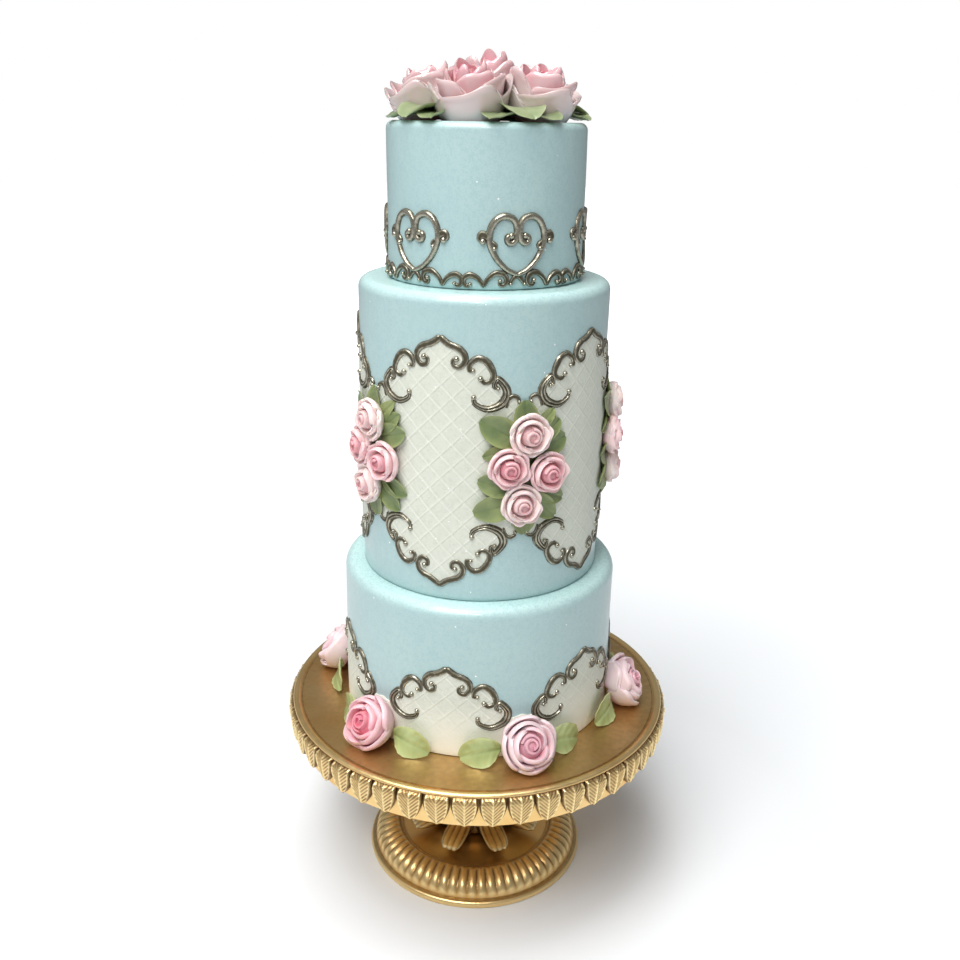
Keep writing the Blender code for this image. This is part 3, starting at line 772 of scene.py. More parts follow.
@dataclass
class StudioStage:
    """A pale floor, soft lights and the camera at the photograph's angle."""

    turn: float = -18.0
    distance: float = 463.5
    eye_height: float = 379.1
    yaw: float = -0.001
    pitch: float = 0.346
    roll: float = 0.017
    lens: float = 37.47
    sensor: float = 36.0
    nearest: float = 0.01
    floor_radius: float = 6000.0
    # Just under the foot, so that the two faces don't share a plane
    floor_height: float = -0.05
    world_strength: float = 0.24
    # What the lights look at, in metres above the floor
    aim_height: float = 0.2
    # Name, angle from the camera, degrees up, metres away, metres across, watts and colour
    lights: tuple[tuple, ...] = (
        ("key", -31.0, 56.0, 2.2, 1.2, 35.0, (1.0, 0.985, 0.965)),
        ("side", -88.0, 24.0, 1.5, 0.8, 0.7, (0.98, 0.99, 1.0)),
        ("overhead", -50.0, 82.0, 1.6, 0.8, 15.0, (1.0, 0.99, 0.98)),
        ("glint", -4.0, 42.0, 1.3, 0.2, 2.4, (1.0, 0.98, 0.95)),
    )

    def place_camera(self) -> None:
        """Set the camera where the photograph was taken.

        The view direction comes from yaw and pitch, the picture is then rolled
        about it, and the whole camera is turned round the cake's axis.
        """
        yaw, pitch, roll = self.yaw, self.pitch, self.roll
        ahead = Vector((math.sin(yaw) * math.cos(pitch), math.cos(yaw) * math.cos(pitch),
                        -math.sin(pitch)))
        side = Vector((math.cos(yaw), -math.sin(yaw), 0.0))
        above = side.cross(ahead)
        right = math.cos(roll) * side + math.sin(roll) * above
        up = -math.sin(roll) * side + math.cos(roll) * above
        axes = Matrix((right, up, -ahead)).transposed().to_4x4()
        spot = Matrix.Translation(Vector((0.0, -self.distance, self.eye_height)) * MM)
        lens = bpy.data.cameras.new("photo_camera")
        lens.lens = self.lens
        lens.sensor_width = self.sensor
        lens.clip_start = self.nearest
        camera = bpy.data.objects.new("photo_camera", lens)
        camera.matrix_world = Matrix.Rotation(math.radians(self.turn), 4, "Z") @ spot @ axes
        bpy.context.scene.collection.objects.link(camera)
        bpy.context.scene.camera = camera

    def add_light(self, name: str, angle: float, rise: float, reach: float, size: float,
                  power: float, colour: Triple) -> None:
        """A square soft light that looks at the cake's middle.

        Args:
            name: the light's name.
            angle: where it stands, in degrees from the camera's side.
            rise: degrees above the floor.
            reach: metres from the cake's middle.
            size: metres across.
            power: watts.
            colour: its colour.
        """
        lamp = bpy.data.lights.new(name, "AREA")
        lamp.size = size
        lamp.energy = power
        lamp.color = colour
        light = bpy.data.objects.new(name, lamp)
        away = Vector(polar(math.cos(math.radians(rise)), angle + self.turn,
                            math.sin(math.radians(rise))))
        light.location = away * reach + Vector((0.0, 0.0, self.aim_height))
        light.rotation_mode = "QUATERNION"
        light.rotation_quaternion = away.to_track_quat("Z", "Y")
        bpy.context.scene.collection.objects.link(light)

    def build(self) -> None:
        """Make the floor, the world, the lights and the camera."""
        floor = bpy.data.meshes.new("floor")
        corners = np.arange(96)
        ring = polar(self.floor_radius, corners * 360 / len(corners), self.floor_height) * MM
        floor.from_pydata(ring.tolist(), [], [corners.tolist()])
        floor.materials.append(FloorFinish().make())
        ground = bpy.data.objects.new("floor", floor)
        bpy.context.scene.collection.objects.link(ground)
        world = bpy.data.worlds.new("studio")
        world.use_nodes = True
        bench = Workbench(world.node_tree)
        sky = world.node_tree.nodes["Background"]
        seen = bench.node("ShaderNodeLightPath").outputs["Is Camera Ray"]
        strength = bench.share(seen, self.world_strength, 1.0)
        bench.tree.links.new(strength, sky.inputs["Strength"])
        sky.inputs["Color"].default_value = (1.0, 1.0, 1.0, 1.0)
        bpy.context.scene.world = world
        for light in self.lights:
            self.add_light(*light)
        bpy.context.scene.view_settings.view_transform = "Standard"
        self.place_camera()


def turned(profile: Array, segments: int) -> Array:
    """A profile of radii and heights swung round the axis, as a stack of rings."""
    around = np.arange(segments)[None, :] * 360 / segments
    return polar(profile[:, :1], around, profile[:, 1:])


@dataclass
class Foot:
    """The stand's round foot: a plinth rim, a fluted quarter round, two rings and a dish."""

    flutes: int = 66
    outer: float = 55.2
    inner: float = 43.0
    rim_height: float = 3.6
    top: float = 13.6
    flute_depth: float = 1.1
    # Radius and height, from under the foot out and up to the flutes
    plinth_line: tuple[Pair, ...] = (
        (50.0, 0.0), (56.4, 0.0), (57.7, 0.5), (57.95, 1.6), (57.6, 2.9), (56.7, 3.55), (56.0, 3.7))
    # From the flutes over two rings and down into the dish
    dish_line: tuple[Pair, ...] = (
        (42.4, 13.5), (41.9, 12.9), (41.6, 12.5), (41.1, 12.9), (40.6, 12.6), (40.1, 11.6),
        (39.0, 11.0), (34.0, 10.7), (28.0, 11.2), (23.0, 12.6), (18.0, 13.2), (15.0, 13.3))
    segments: int = 660

    def build(self, palette: Palette) -> None:
        """Build the foot.

        Each flute is a rounded rib: its height is the size of a half sine, so
        ribs meet in sharp valleys. It stands square to the quarter round and
        fades at both ends.
        """
        shell = Shell()
        around = np.arange(self.segments) * 2 * math.pi / self.segments
        plinth = turned(smooth_line(self.plinth_line, 0.7), self.segments)
        swing = np.linspace(0.02, 0.98, 26)[:, None] * math.pi / 2
        rib = np.abs(np.sin(around * self.flutes / 2))[None, :]
        fade = hold(np.sin(2 * swing) * 3.0) * hold(swing * 1.5 - 0.1)
        relief = self.flute_depth * (rib - 0.45) * fade
        radius = self.inner + (self.outer - self.inner) * np.cos(swing) + relief * np.cos(swing)
        height = (self.rim_height + (self.top - self.rim_height) * np.sin(swing)
                  + relief * np.sin(swing))
        ribs = polar(radius, np.degrees(around), height)
        dish = turned(smooth_line(self.dish_line, 0.6), self.segments)
        rings = np.concatenate([plinth, ribs, dish])
        start = len(plinth)
        end = start + len(ribs)
        # Tone: painted shade, with some antique brown, in the valleys between the flutes, at the
        # crease over the plinth and in the rings
        tone = np.zeros(rings.shape[:2])
        tone[start:end] = (1 - rib) ** 1.6 * fade * 0.95
        tone[start - 2:start + 1] = 0.55
        tone[end:end + 4] = 0.5
        # Tint: painted highlight on the plinth rim, the flute crowns and the dish, the dish
        # standing in for light reflected into it
        tint = np.zeros(rings.shape[:2])
        tint[:start] = 0.5
        tint[start:end] = rib**2 * 0.5
        tint[end + 4:] = 0.45
        shell.tube(rings, tone, tint)
        shell.piece("foot", palette["antique_gold"], "stand_gold", ("stand_foot",), 70.0)


@dataclass
class Stem:
    """The stem, wrapped in eight upright ribbed leaves whose tips curl out over the dish."""

    leaves: int = 8
    phase: float = 4.5
    ribs: int = 5
    rib_depth: float = 0.75
    segments: int = 384
    # Radius between the leaves, radius on a leaf, height, and the leaf's share of its room
    outline: tuple[tuple[float, ...], ...] = (
        (17.0, 18.5, 13.8, 0.3), (18.0, 31.0, 14.3, 0.34), (18.5, 35.2, 15.6, 0.42),
        (17.8, 35.4, 17.2, 0.52), (16.6, 31.5, 19.2, 0.66), (14.2, 23.5, 21.6, 0.84),
        (12.6, 17.6, 27.0, 0.88), (11.2, 14.2, 36.0, 0.9), (10.8, 12.8, 48.0, 0.9),
        (11.4, 13.4, 60.0, 0.9), (13.4, 15.4, 74.0, 0.9), (17.0, 19.0, 84.0, 0.9),
        (20.6, 22.0, 91.0, 0.9),
    )

    def build(self, palette: Palette) -> None:
        """Build the stem.

        Going round, each leaf is a plateau that falls to the gap on both sides,
        and rounded ribs run up it: the size of a sine across the leaf.
        """
        lines = smooth_line(np.array(self.outline), 0.9)
        between, on_leaf, height, share = (column[:, None] for column in lines.T)
        around = np.arange(self.segments) * 360.0 / self.segments
        place = (around - self.phase) * self.leaves / 360.0
        off = np.abs(place - np.round(place))[None, :] * 2
        plateau = 1 / (1 + (off / share) ** 8)
        ribs = np.abs(np.cos(off / np.maximum(share, 0.5) * self.ribs * math.pi / 2))
        radius = between + (on_leaf - between + self.rib_depth * (ribs - 0.5)) * plateau
        shell = Shell()
        curl = hold((radius - 24.0) / 9.0)
        # Tone: antique brown and painted shade between the leaves and in the rib valleys
        tone = hold(1.1 - plateau) * 0.8 + (1 - ribs) ** 2 * 0.7 * plateau
        # Painted shade on the lower stem, under the plate
        tone = tone + 0.35 * (1 - curl) * (height < 50.0)
        # Tint: painted highlight on the ribs and the curled tips
        shell.tube(polar(radius, around[None, :], height), hold(tone),
                   hold(ribs * 0.3 + curl * 0.6))
        shell.piece("stem", palette["antique_gold"], "stand_gold", ("stand_stem",), 70.0)


@dataclass
class Plate:
    """The stand's plate: a flat top, a rounded rim and a hanging band of leaves."""

    band_leaves: int = 48
    phase: float = 1.7
    wall: float = 95.4
    leaf_half: float = 6.35
    leaf_top: float = 97.2
    leaf_tip: float = 81.9
    vein_pitch: float = 1.9
    # How the band swells: heights and radii
    swell: tuple[tuple[float, ...], ...] = (
        (82.1, 84.0, 87.0, 91.0, 94.3, 96.2, 97.0), (95.6, 96.0, 96.5, 97.0, 97.1, 96.4, 95.5))
    # Radius and height, from under the plate down round the skirt and up the band's wall
    skirt_line: tuple[Pair, ...] = (
        (80.0, 91.4), (86.0, 91.4), (88.9, 91.0), (90.4, 88.6), (92.4, 82.4), (93.4, 81.65),
        (94.8, 81.65), (95.4, 82.4), (95.4, 88.0), (95.4, 92.2), (95.4, 94.4), (95.2, 96.2))
    # On over the rolled lip and its groove to the flat top
    lip_line: tuple[Pair, ...] = (
        (95.2, 96.2), (96.0, 96.9), (96.3, 97.6), (95.9, 98.3), (95.0, 98.65), (94.0, 98.6),
        (93.1, 98.3), (92.6, 97.9), (92.2, 97.65), (91.7, 97.75), (91.0, 97.97), (80.0, 98.0))
    segments: int = 384

    def build_body(self, palette: Palette) -> None:
        """Build the plate itself as one turned shape.

        It carries painted shade, darkest in the groove inside the lip, in the cove under the lip
        and high on the wall between the leaves, and half dark on the flat and below; the outer lip
        carries a painted highlight.
        """
        profile = np.concatenate([smooth_line(self.skirt_line, 0.8),
                                  smooth_line(self.lip_line, 0.7)[1:]])
        radius, height = profile[:, :1], profile[:, 1:]
        # Masks for painted shade: the groove inside the lip, the cove under the lip, the underside,
        # the flat top and a painted shadow high on the wall under the lip
        groove = bell(radius - 92.3, 0.5) * (height > 96)
        cove_shade = bell(height - 96.0, 0.7) * (radius > 94)
        below = (height < 91.6) * (radius < 93)
        flat = (height > 97.9) * (radius < 92)
        wall = np.clip((height - 90.0) / 4.0, 0, 0.85) * (radius > 95.3) * (height < 96.2)
        tone = hold(groove * 0.8 + cove_shade * 0.9 + below * 0.5 + flat * 0.54) + wall
        # Painted highlight on the outer lip
        lip = hold(radius - 93.2) * (height > 97.4)
        shell = Shell()
        shell.tube(turned(profile, self.segments), hold(tone), lip * 0.35)
        shell.piece("plate", palette["antique_gold"], "stand_gold", ("stand_plate",), 50.0)

    def build_band(self, palette: Palette) -> None:
        """Build the hanging leaves.

        Each is a pointed shield on the band's wall. Its half width is the full
        one times the 0.62th power of one minus the height share to the power
        2.1, drawn in at the top by a quarter sine. A rim stands round it, a rib
        runs down its middle, and side veins rise from the rib to the rim as a
        cosine of height and distance out. It is low under the lip and at its
        tip. The veins, the rib and the rim carry a painted highlight, partly
        rubbed wear, and the rest is brown, partly antique paint and partly
        painted shade, darkest between the leaves and in a painted shadow under
        the lip.
        """
        down = np.linspace(0, 1, 44)[:, None]
        across = np.linspace(-1, 1, 27)[None, :]
        shoulder = 0.88 + 0.12 * np.sin(np.minimum(down / 0.3, 1) * math.pi / 2)
        half = self.leaf_half * shoulder * np.maximum(1 - down**2.1, 0.0004) ** 0.62
        out = np.abs(across)
        rim = bell(out - 0.85, 0.08)
        rib = bell(across * half, 0.38)
        slope = down * (self.leaf_top - self.leaf_tip) + out * half * 1.1
        veins = 0.5 + 0.5 * np.cos(2 * math.pi * slope / self.vein_pitch)
        veins = veins * (1 - rib) * (out < 0.8)
        depth = 0.3 + 0.85 * rim + 0.9 * rib + 0.5 * veins + 0.35 * (1 - out**2)
        depth = depth * np.clip((1 - out) * 8, 0.25, 1)
        depth = depth * hold(down * 12 + 0.3) * hold((1 - down) * 9 + 0.45)
        height = self.leaf_top + (self.leaf_tip - self.leaf_top) * down
        carried = np.interp(height, *self.swell) - self.wall
        front = sheet(across * half, carried + depth, height)
        back = sheet(across * half, carried - 0.5, height)
        # Painted shade between the leaves and under the lip, with antique brown in the hollows;
        # painted highlight on the veins, rib and rim
        tone = hold(0.95 - rim - rib - veins**0.7 * 0.9 + (out > 0.9) + bell(down, 0.05))
        tint = hold(rim + rib + 0.5 * veins)
        shell = Shell()
        for index in range(self.band_leaves):
            turn = self.phase + index * 360 / self.band_leaves
            shell.panel(wrapped(front, self.wall, turn), wrapped(back, self.wall, turn), tone, tint)
        shell.piece("plate_leaves", palette["antique_gold"], "stand_gold")

    def build(self, palette: Palette) -> None:
        """Build the plate and its band."""
        self.build_body(palette)
        self.build_band(palette)


@dataclass
class Tier:
    """One round tier of icing with a softly rounded top edge, smoothed by hand."""

    name: str
    radius: float
    base: float
    top: float
    edge: float = 4.6
    segments: int = 288

    def build(self, palette: Palette) -> None:
        """Build the tier.

        The profile runs up the wall, over a quarter round and in to the middle.
        Slow sines round the wall leave the small swells of hand smoothing.
        """
        swing = np.linspace(0, math.pi / 2, 14)
        arc = np.stack([self.radius - self.edge * (1 - np.cos(swing)),
                        self.top - self.edge * (1 - np.sin(swing))], axis=1)
        foot = np.array([(1.0, self.base), (self.radius * 0.6, self.base),
                         (self.radius - 0.5, self.base), (self.radius, self.base + 0.5)])
        rise = np.linspace(self.base + 2, self.top - self.edge - 1, 30)
        wall = np.stack([np.full(30, self.radius), rise], axis=1)
        inner = np.array([(self.radius - self.edge - 1.5, self.top), (self.radius * 0.5, self.top),
                          (1.0, self.top)])
        profile = np.concatenate([foot, wall, arc, inner])
        rings = turned(profile, self.segments)
        around = np.arange(self.segments)[None, :] * 2 * math.pi / self.segments
        swell = (0.10 * np.sin(3 * around + profile[:, 1:] * 0.05)
                 + 0.06 * np.sin(8 * around - profile[:, 1:] * 0.11))
        rings[..., :2] *= 1 + (swell / self.radius)[..., None]
        # The tone is a painted highlight: it lightens the rounded edge and the top face, where
        # light from above falls
        tone = np.zeros(len(profile))
        start = len(foot) + len(wall)
        tone[start:start + len(arc)] = np.sin(swing) ** 2
        tone[start + len(arc):] = 1.0
        shell = Shell()
        shell.tube(rings, tone[:, None])
        shell.piece(f"icing_{self.name}", palette["icing"], "icing_blue",
                    (f"tier_{self.name}",))


# The white field's upper edge, right of a panel's middle, as sideways and absolute height
FIELD_EDGE = np.array([
    (0.0, 293.7), (4.4, 291.0), (10.2, 288.0), (10.7, 285.0), (13.0, 284.0), (16.0, 285.6),
    (20.3, 283.0), (21.8, 279.0), (22.5, 277.0), (24.2, 277.3), (26.2, 276.3), (27.7, 272.8),
    (28.0, 268.5), (29.0, 269.3), (30.5, 270.0), (33.0, 269.0), (34.0, 267.8), (36.25, 267.5),
])


@dataclass
class LatticeField:
    """White icing inside the scroll frames, embossed with a fine diagonal lattice."""

    radius: float
    panels: int
    periods: int
    columns: int
    rows: int
    lifted: float = 0.5
    raised: float = 0.14
    line_width: float = 0.34
    dip_aside: float = 0.62
    dip_width: float = 0.3
    sunk: float = -0.4

    def edges(self, sideways: Array) -> tuple[Array, Array]:
        """The field's lowest and highest point at each place along the wall."""
        high = np.interp(np.abs(sideways), *FIELD_EDGE.T)
        return 2 * MIRROR_Z - high, high

    def fade(self, height: Array) -> Array:
        """How clearly the lattice shows at each height."""
        return np.ones_like(height)

    def build(self, label: str, palette: Palette) -> None:
        """Build one sheet for each panel.

        The grid runs from the lower to the upper edge at every place along the
        wall. The depth rises by a bell curve of the distance to the nearest of
        two sets of slanting lines, whose spacing divides the wall evenly, and
        dips along one side of each line.
        """
        pitch = 2 * math.pi * self.radius / self.periods
        half = math.pi * self.radius / self.panels
        share = np.linspace(0, 1, self.rows)[:, None]
        sideways = np.linspace(-half, half, self.columns)[None, :]
        low, high = self.edges(sideways)
        height = low + (high - low) * share
        edge = 1 - 0.5 * np.abs(2 * share - 1) ** 24
        fade = self.fade(height)
        for index in range(self.panels):
            turn = (index + 0.5) * 360 / self.panels
            along = sideways + math.radians(turn) * self.radius
            thread = np.zeros_like(height)
            dip = np.zeros_like(height)
            for slant, strength in ((1, 0.95), (-1, 1.0)):
                place = (along + slant * (height - MIRROR_Z)) / pitch
                gap = (place - np.round(place)) * pitch / math.sqrt(2)
                thread = np.maximum(thread, strength * bell(gap, self.line_width))
                dip = np.maximum(dip, strength * bell(gap - self.dip_aside, self.dip_width))
            thread, dip = thread * fade, dip * fade
            depth = (self.lifted + self.raised * (thread - dip)) * edge
            front, back = (wrapped(sheet(sideways, out, height), self.radius, turn)
                           for out in (depth, self.sunk))
            shell = Shell()
            # The dip goes in as the tone, a painted shade beside each line, and the raised line as
            # the tint, a painted highlight
            shell.panel(front, back, dip, thread)
            shell.piece(f"field_{label}_{index + 1}", palette["lattice_field"], "field_white")


@dataclass
class BaseField(LatticeField):
    """The bottom tier's white field, which stands on the plate and fills the arches."""

    between: float = 119.4
    drop: float = 150.1

    def edges(self, sideways: Array) -> tuple[Array, Array]:
        """From just over the plate up to the arches, and level between them."""
        out = np.abs(sideways)
        inside = np.interp(out, *FIELD_EDGE.T) - self.drop
        level = self.between + 0.5 * np.cos(out * 0.9)
        high = np.where(out < 28.0, inside, level)
        return np.full_like(high, PLATE_TOP + 0.4), high

    def fade(self, height: Array) -> Array:
        """The lattice is smoothed away towards the plate."""
        return hold((height - PLATE_TOP - 6.0) / 16.0)


class Moulding(Enum):
    """How many channels a scroll has along its length."""

    PLAIN = 0
    SINGLE = 1
    FLUTED = 3


@dataclass(frozen=True)
class Ribbon:
    """One scroll: its line, widths at its start, middle and end, and its moulding."""

    line: tuple[Pair, ...]
    widths: Triple
    moulding: Moulding = Moulding.SINGLE
    beads: tuple[float, float] = (0.0, 0.0)
    weight: float = 1.35

    def sweep(self, shell: Shell, mirror: float, level: float, flip: float,
              relief: float) -> None:
        """Carry the moulded section along the line, on the flat.

        Across the ribbon the height is one minus the cube of the distance out,
        cut by squared cosines for the channels. Both ends close in a half round.

        Args:
            shell: takes the ribbon.
            mirror: 1, or -1 for the other half.
            level: the height that the line is drawn from.
            flip: 1, or -1 to turn it upside down.
            relief: how far it stands out.
        """
        path = smooth_line(np.array(self.line), 0.6) * (mirror, flip) + (0.0, level)
        along = unit(np.gradient(path, axis=0))
        side = np.stack([-along[:, 1], along[:, 0]], axis=1)
        walked = np.concatenate([[0], np.cumsum(np.linalg.norm(np.diff(path, axis=0), axis=1))])
        share = walked / walked[-1]
        half = np.interp(share, (0.0, 0.5, 1.0), self.widths) * self.weight / 2
        left = np.clip(np.minimum(walked, walked[-1] - walked) / half, 0.06, 1)
        close = np.sqrt(1 - (1 - left) ** 2)[:, None]
        columns = 17
        across = np.linspace(-1, 1, columns)[None, :]
        channel = np.cos(self.moulding.value * math.pi * across / 2) ** 2
        if self.moulding is Moulding.PLAIN:
            channel = np.zeros_like(across)
        crown = (1 - np.abs(across) ** 3) * (1 - 0.45 * channel)
        depth = 0.15 + relief * crown * (0.75 + 0.25 * half[:, None] / half.max()) * close
        reach = across * half[:, None] * close
        top = np.concatenate([path[:, None, :] + side[:, None, :] * reach[..., None],
                              depth[..., None]], axis=2)
        low = top[:, ::-4].copy()
        low[..., 2] = -0.35
        rings = np.concatenate([top, low], axis=1)[..., (0, 2, 1)]
        # The tone: antique paint and painted shade in the channels, and painted shade on the
        # sloping sides, the ends and the underside
        tone = np.maximum(channel, np.abs(across) ** 4 * 0.8) + 0 * depth
        tone = np.concatenate([tone, np.full(low.shape[:2], 0.9)], axis=1)
        tone[:, (0, columns - 1)] = 0.85
        shell.tube(rings, tone * 0.95)
        for size, place in zip(self.beads, (path[0], path[-1])):
            if size:
                shell.bead(np.array([place[0], 0.45, place[1]]), (size, relief * 1.05, size))


# A panel's frame, right half, as sideways and height over the peak's absolute height
PEAK = Ribbon(((-0.4, 0.9), (3.8, -2.0), (8.2, -3.7), (10.5, -6.2), (10.6, -9.2), (8.4, -11.6),
               (6.0, -10.9), (5.6, -8.8), (7.2, -8.0)), (2.3, 2.2, 1.5), beads=(0.0, 1.25))
SIDE = Ribbon(((14.2, -12.6), (12.4, -12.4), (13.3, -9.2), (16.5, -7.5), (20.0, -9.2),
               (22.5, -13.7), (21.8, -16.7), (19.0, -17.7), (17.2, -16.0)),
              (1.5, 2.5, 1.5), beads=(0.95, 1.25))
CORNER = Ribbon(((24.6, -20.2), (23.0, -19.0), (24.5, -16.2), (28.3, -21.2), (26.6, -26.4),
                 (20.6, -29.0), (15.2, -27.0), (14.5, -24.2)),
                (1.6, 3.6, 1.7), Moulding.FLUTED, beads=(0.95, 1.2))
LINK = Ribbon(((28.2, -28.7), (29.0, -25.2), (31.0, -23.7), (33.4, -24.5), (33.6, -26.0)),
              (1.3, 1.7, 1.1), beads=(0.0, 0.9))

# A heart's right half and what links the ring, as sideways and height over the heart's dip
HEART = Ribbon(((3.0, -2.3), (4.6, -3.0), (4.4, -4.8), (2.9, -5.4), (1.3, -4.3), (0.7, -2.0),
                (0.6, 0.0), (1.0, 2.3), (2.5, 4.5), (6.25, 5.4), (9.6, 3.7), (11.7, 0.0),
                (12.1, -4.2), (10.8, -8.4), (8.3, -12.5), (4.2, -16.3), (-0.3, -18.4)),
               (1.9, 2.3, 1.6), Moulding.PLAIN, beads=(1.35, 0.0))
HEART_EAR = Ribbon(((11.8, -3.4), (13.4, -2.4), (15.2, -1.9), (16.0, -3.4), (14.8, -4.7)),
                   (2.2, 2.5, 1.7), beads=(0.0, 1.35))
HEART_HOOK = Ribbon(((11.6, -5.0), (10.4, -5.6), (9.4, -6.6), (10.0, -7.6)),
                    (1.8, 1.8, 1.3), beads=(0.0, 1.1))
HEART_FOOT = Ribbon(((14.3, -23.4), (12.5, -20.0), (9.2, -17.6), (5.8, -18.0), (4.5, -20.4),
                     (5.6, -22.4), (7.3, -22.2), (7.4, -20.6)), (1.2, 2.0, 1.2), beads=(0.0, 0.9))
HEART_DROP = Ribbon(((0.0, -18.2), (1.9, -20.0), (3.0, -22.0)), (1.8, 1.5, 1.0), beads=(0.0, 0.8))
FOOT_LINK = Ribbon(((9.0, -23.4), (6.8, -20.0), (3.5, -18.4), (0.9, -19.4), (0.5, -21.6),
                    (1.9, -23.0), (3.3, -22.2)), (1.2, 2.0, 1.2), beads=(0.0, 0.9))


@dataclass
class Scrollwork:
    """The silver scrolls raised on the three tiers."""

    relief: float = 1.4
    dip: float = 336.7

    def sweep_pair(self, shell: Shell, ribbons: tuple[Ribbon, ...], level: float,
                   flip: float = 1.0) -> None:
        """Sweep each ribbon and its mirror image."""
        for ribbon in ribbons:
            for mirror in (-1.0, 1.0):
                ribbon.sweep(shell, mirror, level, flip, self.relief)

    def build(self, palette: Palette) -> None:
        """Build one piece for each panel, arch and heart."""
        silver = palette["scroll_silver"]
        for index in range(PANELS):
            shell = Shell()
            self.sweep_pair(shell, (PEAK, SIDE, CORNER, LINK), MIDDLE_PEAK)
            self.sweep_pair(shell, (PEAK, SIDE, CORNER, LINK), 2 * MIRROR_Z - MIDDLE_PEAK, -1.0)
            shell.bend(MIDDLE_RADIUS, (index + 0.5) * 360 / PANELS)
            shell.piece(f"scroll_middle_{index + 1}", silver, "scroll_silver")
        for index in range(ARCHES):
            shell = Shell()
            self.sweep_pair(shell, (PEAK, SIDE, CORNER), BOTTOM_PEAK)
            shell.bend(BOTTOM_RADIUS, (index + 0.5) * 360 / ARCHES)
            shell.piece(f"scroll_bottom_{index + 1}", silver, "scroll_silver")
        for index in range(HEARTS):
            shell = Shell()
            self.sweep_pair(shell, (HEART, HEART_EAR, HEART_HOOK, HEART_FOOT, HEART_DROP), self.dip)
            shell.bend(TOP_RADIUS, index * 360 / HEARTS)
            link = Shell()
            self.sweep_pair(link, (FOOT_LINK,), self.dip)
            link.bend(TOP_RADIUS, (index + 0.5) * 360 / HEARTS)
            shell.piece(f"scroll_heart_{index + 1}", silver, "scroll_silver")
            link.piece(f"scroll_link_{index + 1}", silver, "scroll_silver")


@dataclass(frozen=True)
class PetalRow:
    """One row of so many petals, as shares of the rose's radius and depth.

    A petal goes from the base radius at the foot height to the rim radius at
    the top height, covers span degrees each side of its middle, rolls its lip
    outward, tucks one side under its neighbour by lap, and ripples by wave.
    Its top edge falls to the sides by droop, narrows by round, rises to one
    side by slant, and loses its corners by corner. The tint is how pink it is,
    and the turn shifts the row round by a share of one petal's room.
    """

    count: int
    base: float
    rim: float
    foot: float
    top: float
    span: float
    lip: float
    lap: float
    wave: float
    droop: float
    tint: float
    turn: float
    round: float = 0.3
    slant: float = 0.0
    corner: float = 0.0


@dataclass(frozen=True)
class Bud:
    """The wound heart of a rose: how many turns, and its sizes as shares."""

    turns: float
    inner: float
    outer: float
    foot: float
    rim: float
    top: float
    flare: float


# Petal rows from the outside in: count, base, rim, foot, top, span, lip, lap, wave, droop,
# tint, turn, round, slant and corner
CLUSTER_ROWS = (
    PetalRow(5, 0.5, 0.94, 0.0, 0.56, 56, 0.1, 0.06, 0.05, 0.2, 0.1, 0.0, 0.35, 0.1),
    PetalRow(3, 0.44, 0.66, 0.1, 0.82, 82, 0.09, 0.1, 0.04, 0.16, 0.35, 0.4, 0.3, 0.08),
)
FOOT_ROWS = (
    PetalRow(4, 0.6, 0.93, 0.0, 0.7, 68, 0.06, 0.07, 0.05, 0.2, 0.1, 0.0, 0.3, 0.1),
    PetalRow(3, 0.54, 0.73, 0.08, 0.84, 82, 0.04, 0.08, 0.04, 0.14, 0.3, 0.5, 0.3, 0.1),
    PetalRow(3, 0.4, 0.52, 0.2, 0.9, 80, 0.02, 0.07, 0.03, 0.12, 0.6, 0.1, 0.3, 0.05),
)
TOP_ROWS = (
    PetalRow(4, 0.66, 0.95, -0.2, 0.64, 79, 0.13, 0.05, 0.05, 0.1, 0.1, 0.0, 0.28, 0.3, 0.42),
    PetalRow(3, 0.58, 0.78, 0.0, 0.84, 86, 0.1, 0.08, 0.05, 0.1, 0.42, 0.5, 0.2, 0.24, 0.4),
    PetalRow(3, 0.42, 0.54, 0.16, 0.95, 78, 0.03, 0.09, 0.05, 0.1, 0.75, 0.2, 0.2, 0.18, 0.35),
    PetalRow(3, 0.22, 0.33, 0.3, 1.0, 82, -0.02, 0.08, 0.04, 0.06, 1.0, 0.7, 0.25, 0.16, 0.3),
)
CENTRE_ROWS = (
    PetalRow(4, 0.5, 0.9, 0.2, 0.84, 66, 0.06, 0.1, 0.06, 0.12, 0.55, 0.0, 0.25, 0.2, 0.3),
    PetalRow(3, 0.36, 0.54, 0.3, 0.98, 76, -0.02, 0.1, 0.05, 0.08, 0.95, 0.5, 0.25, 0.18, 0.3),
)
CLUSTER_BUD = Bud(turns=1.5, inner=0.08, outer=0.33, foot=0.34, rim=0.84, top=0.95, flare=0.05)
FOOT_BUD = Bud(turns=1.7, inner=0.06, outer=0.32, foot=0.4, rim=0.84, top=0.98, flare=0.03)
TOP_BUD = Bud(turns=1.3, inner=0.05, outer=0.15, foot=0.34, rim=0.86, top=0.95, flare=0.0)
CENTRE_BUD = Bud(turns=1.1, inner=0.1, outer=0.22, foot=0.5, rim=0.88, top=0.94, flare=0.0)


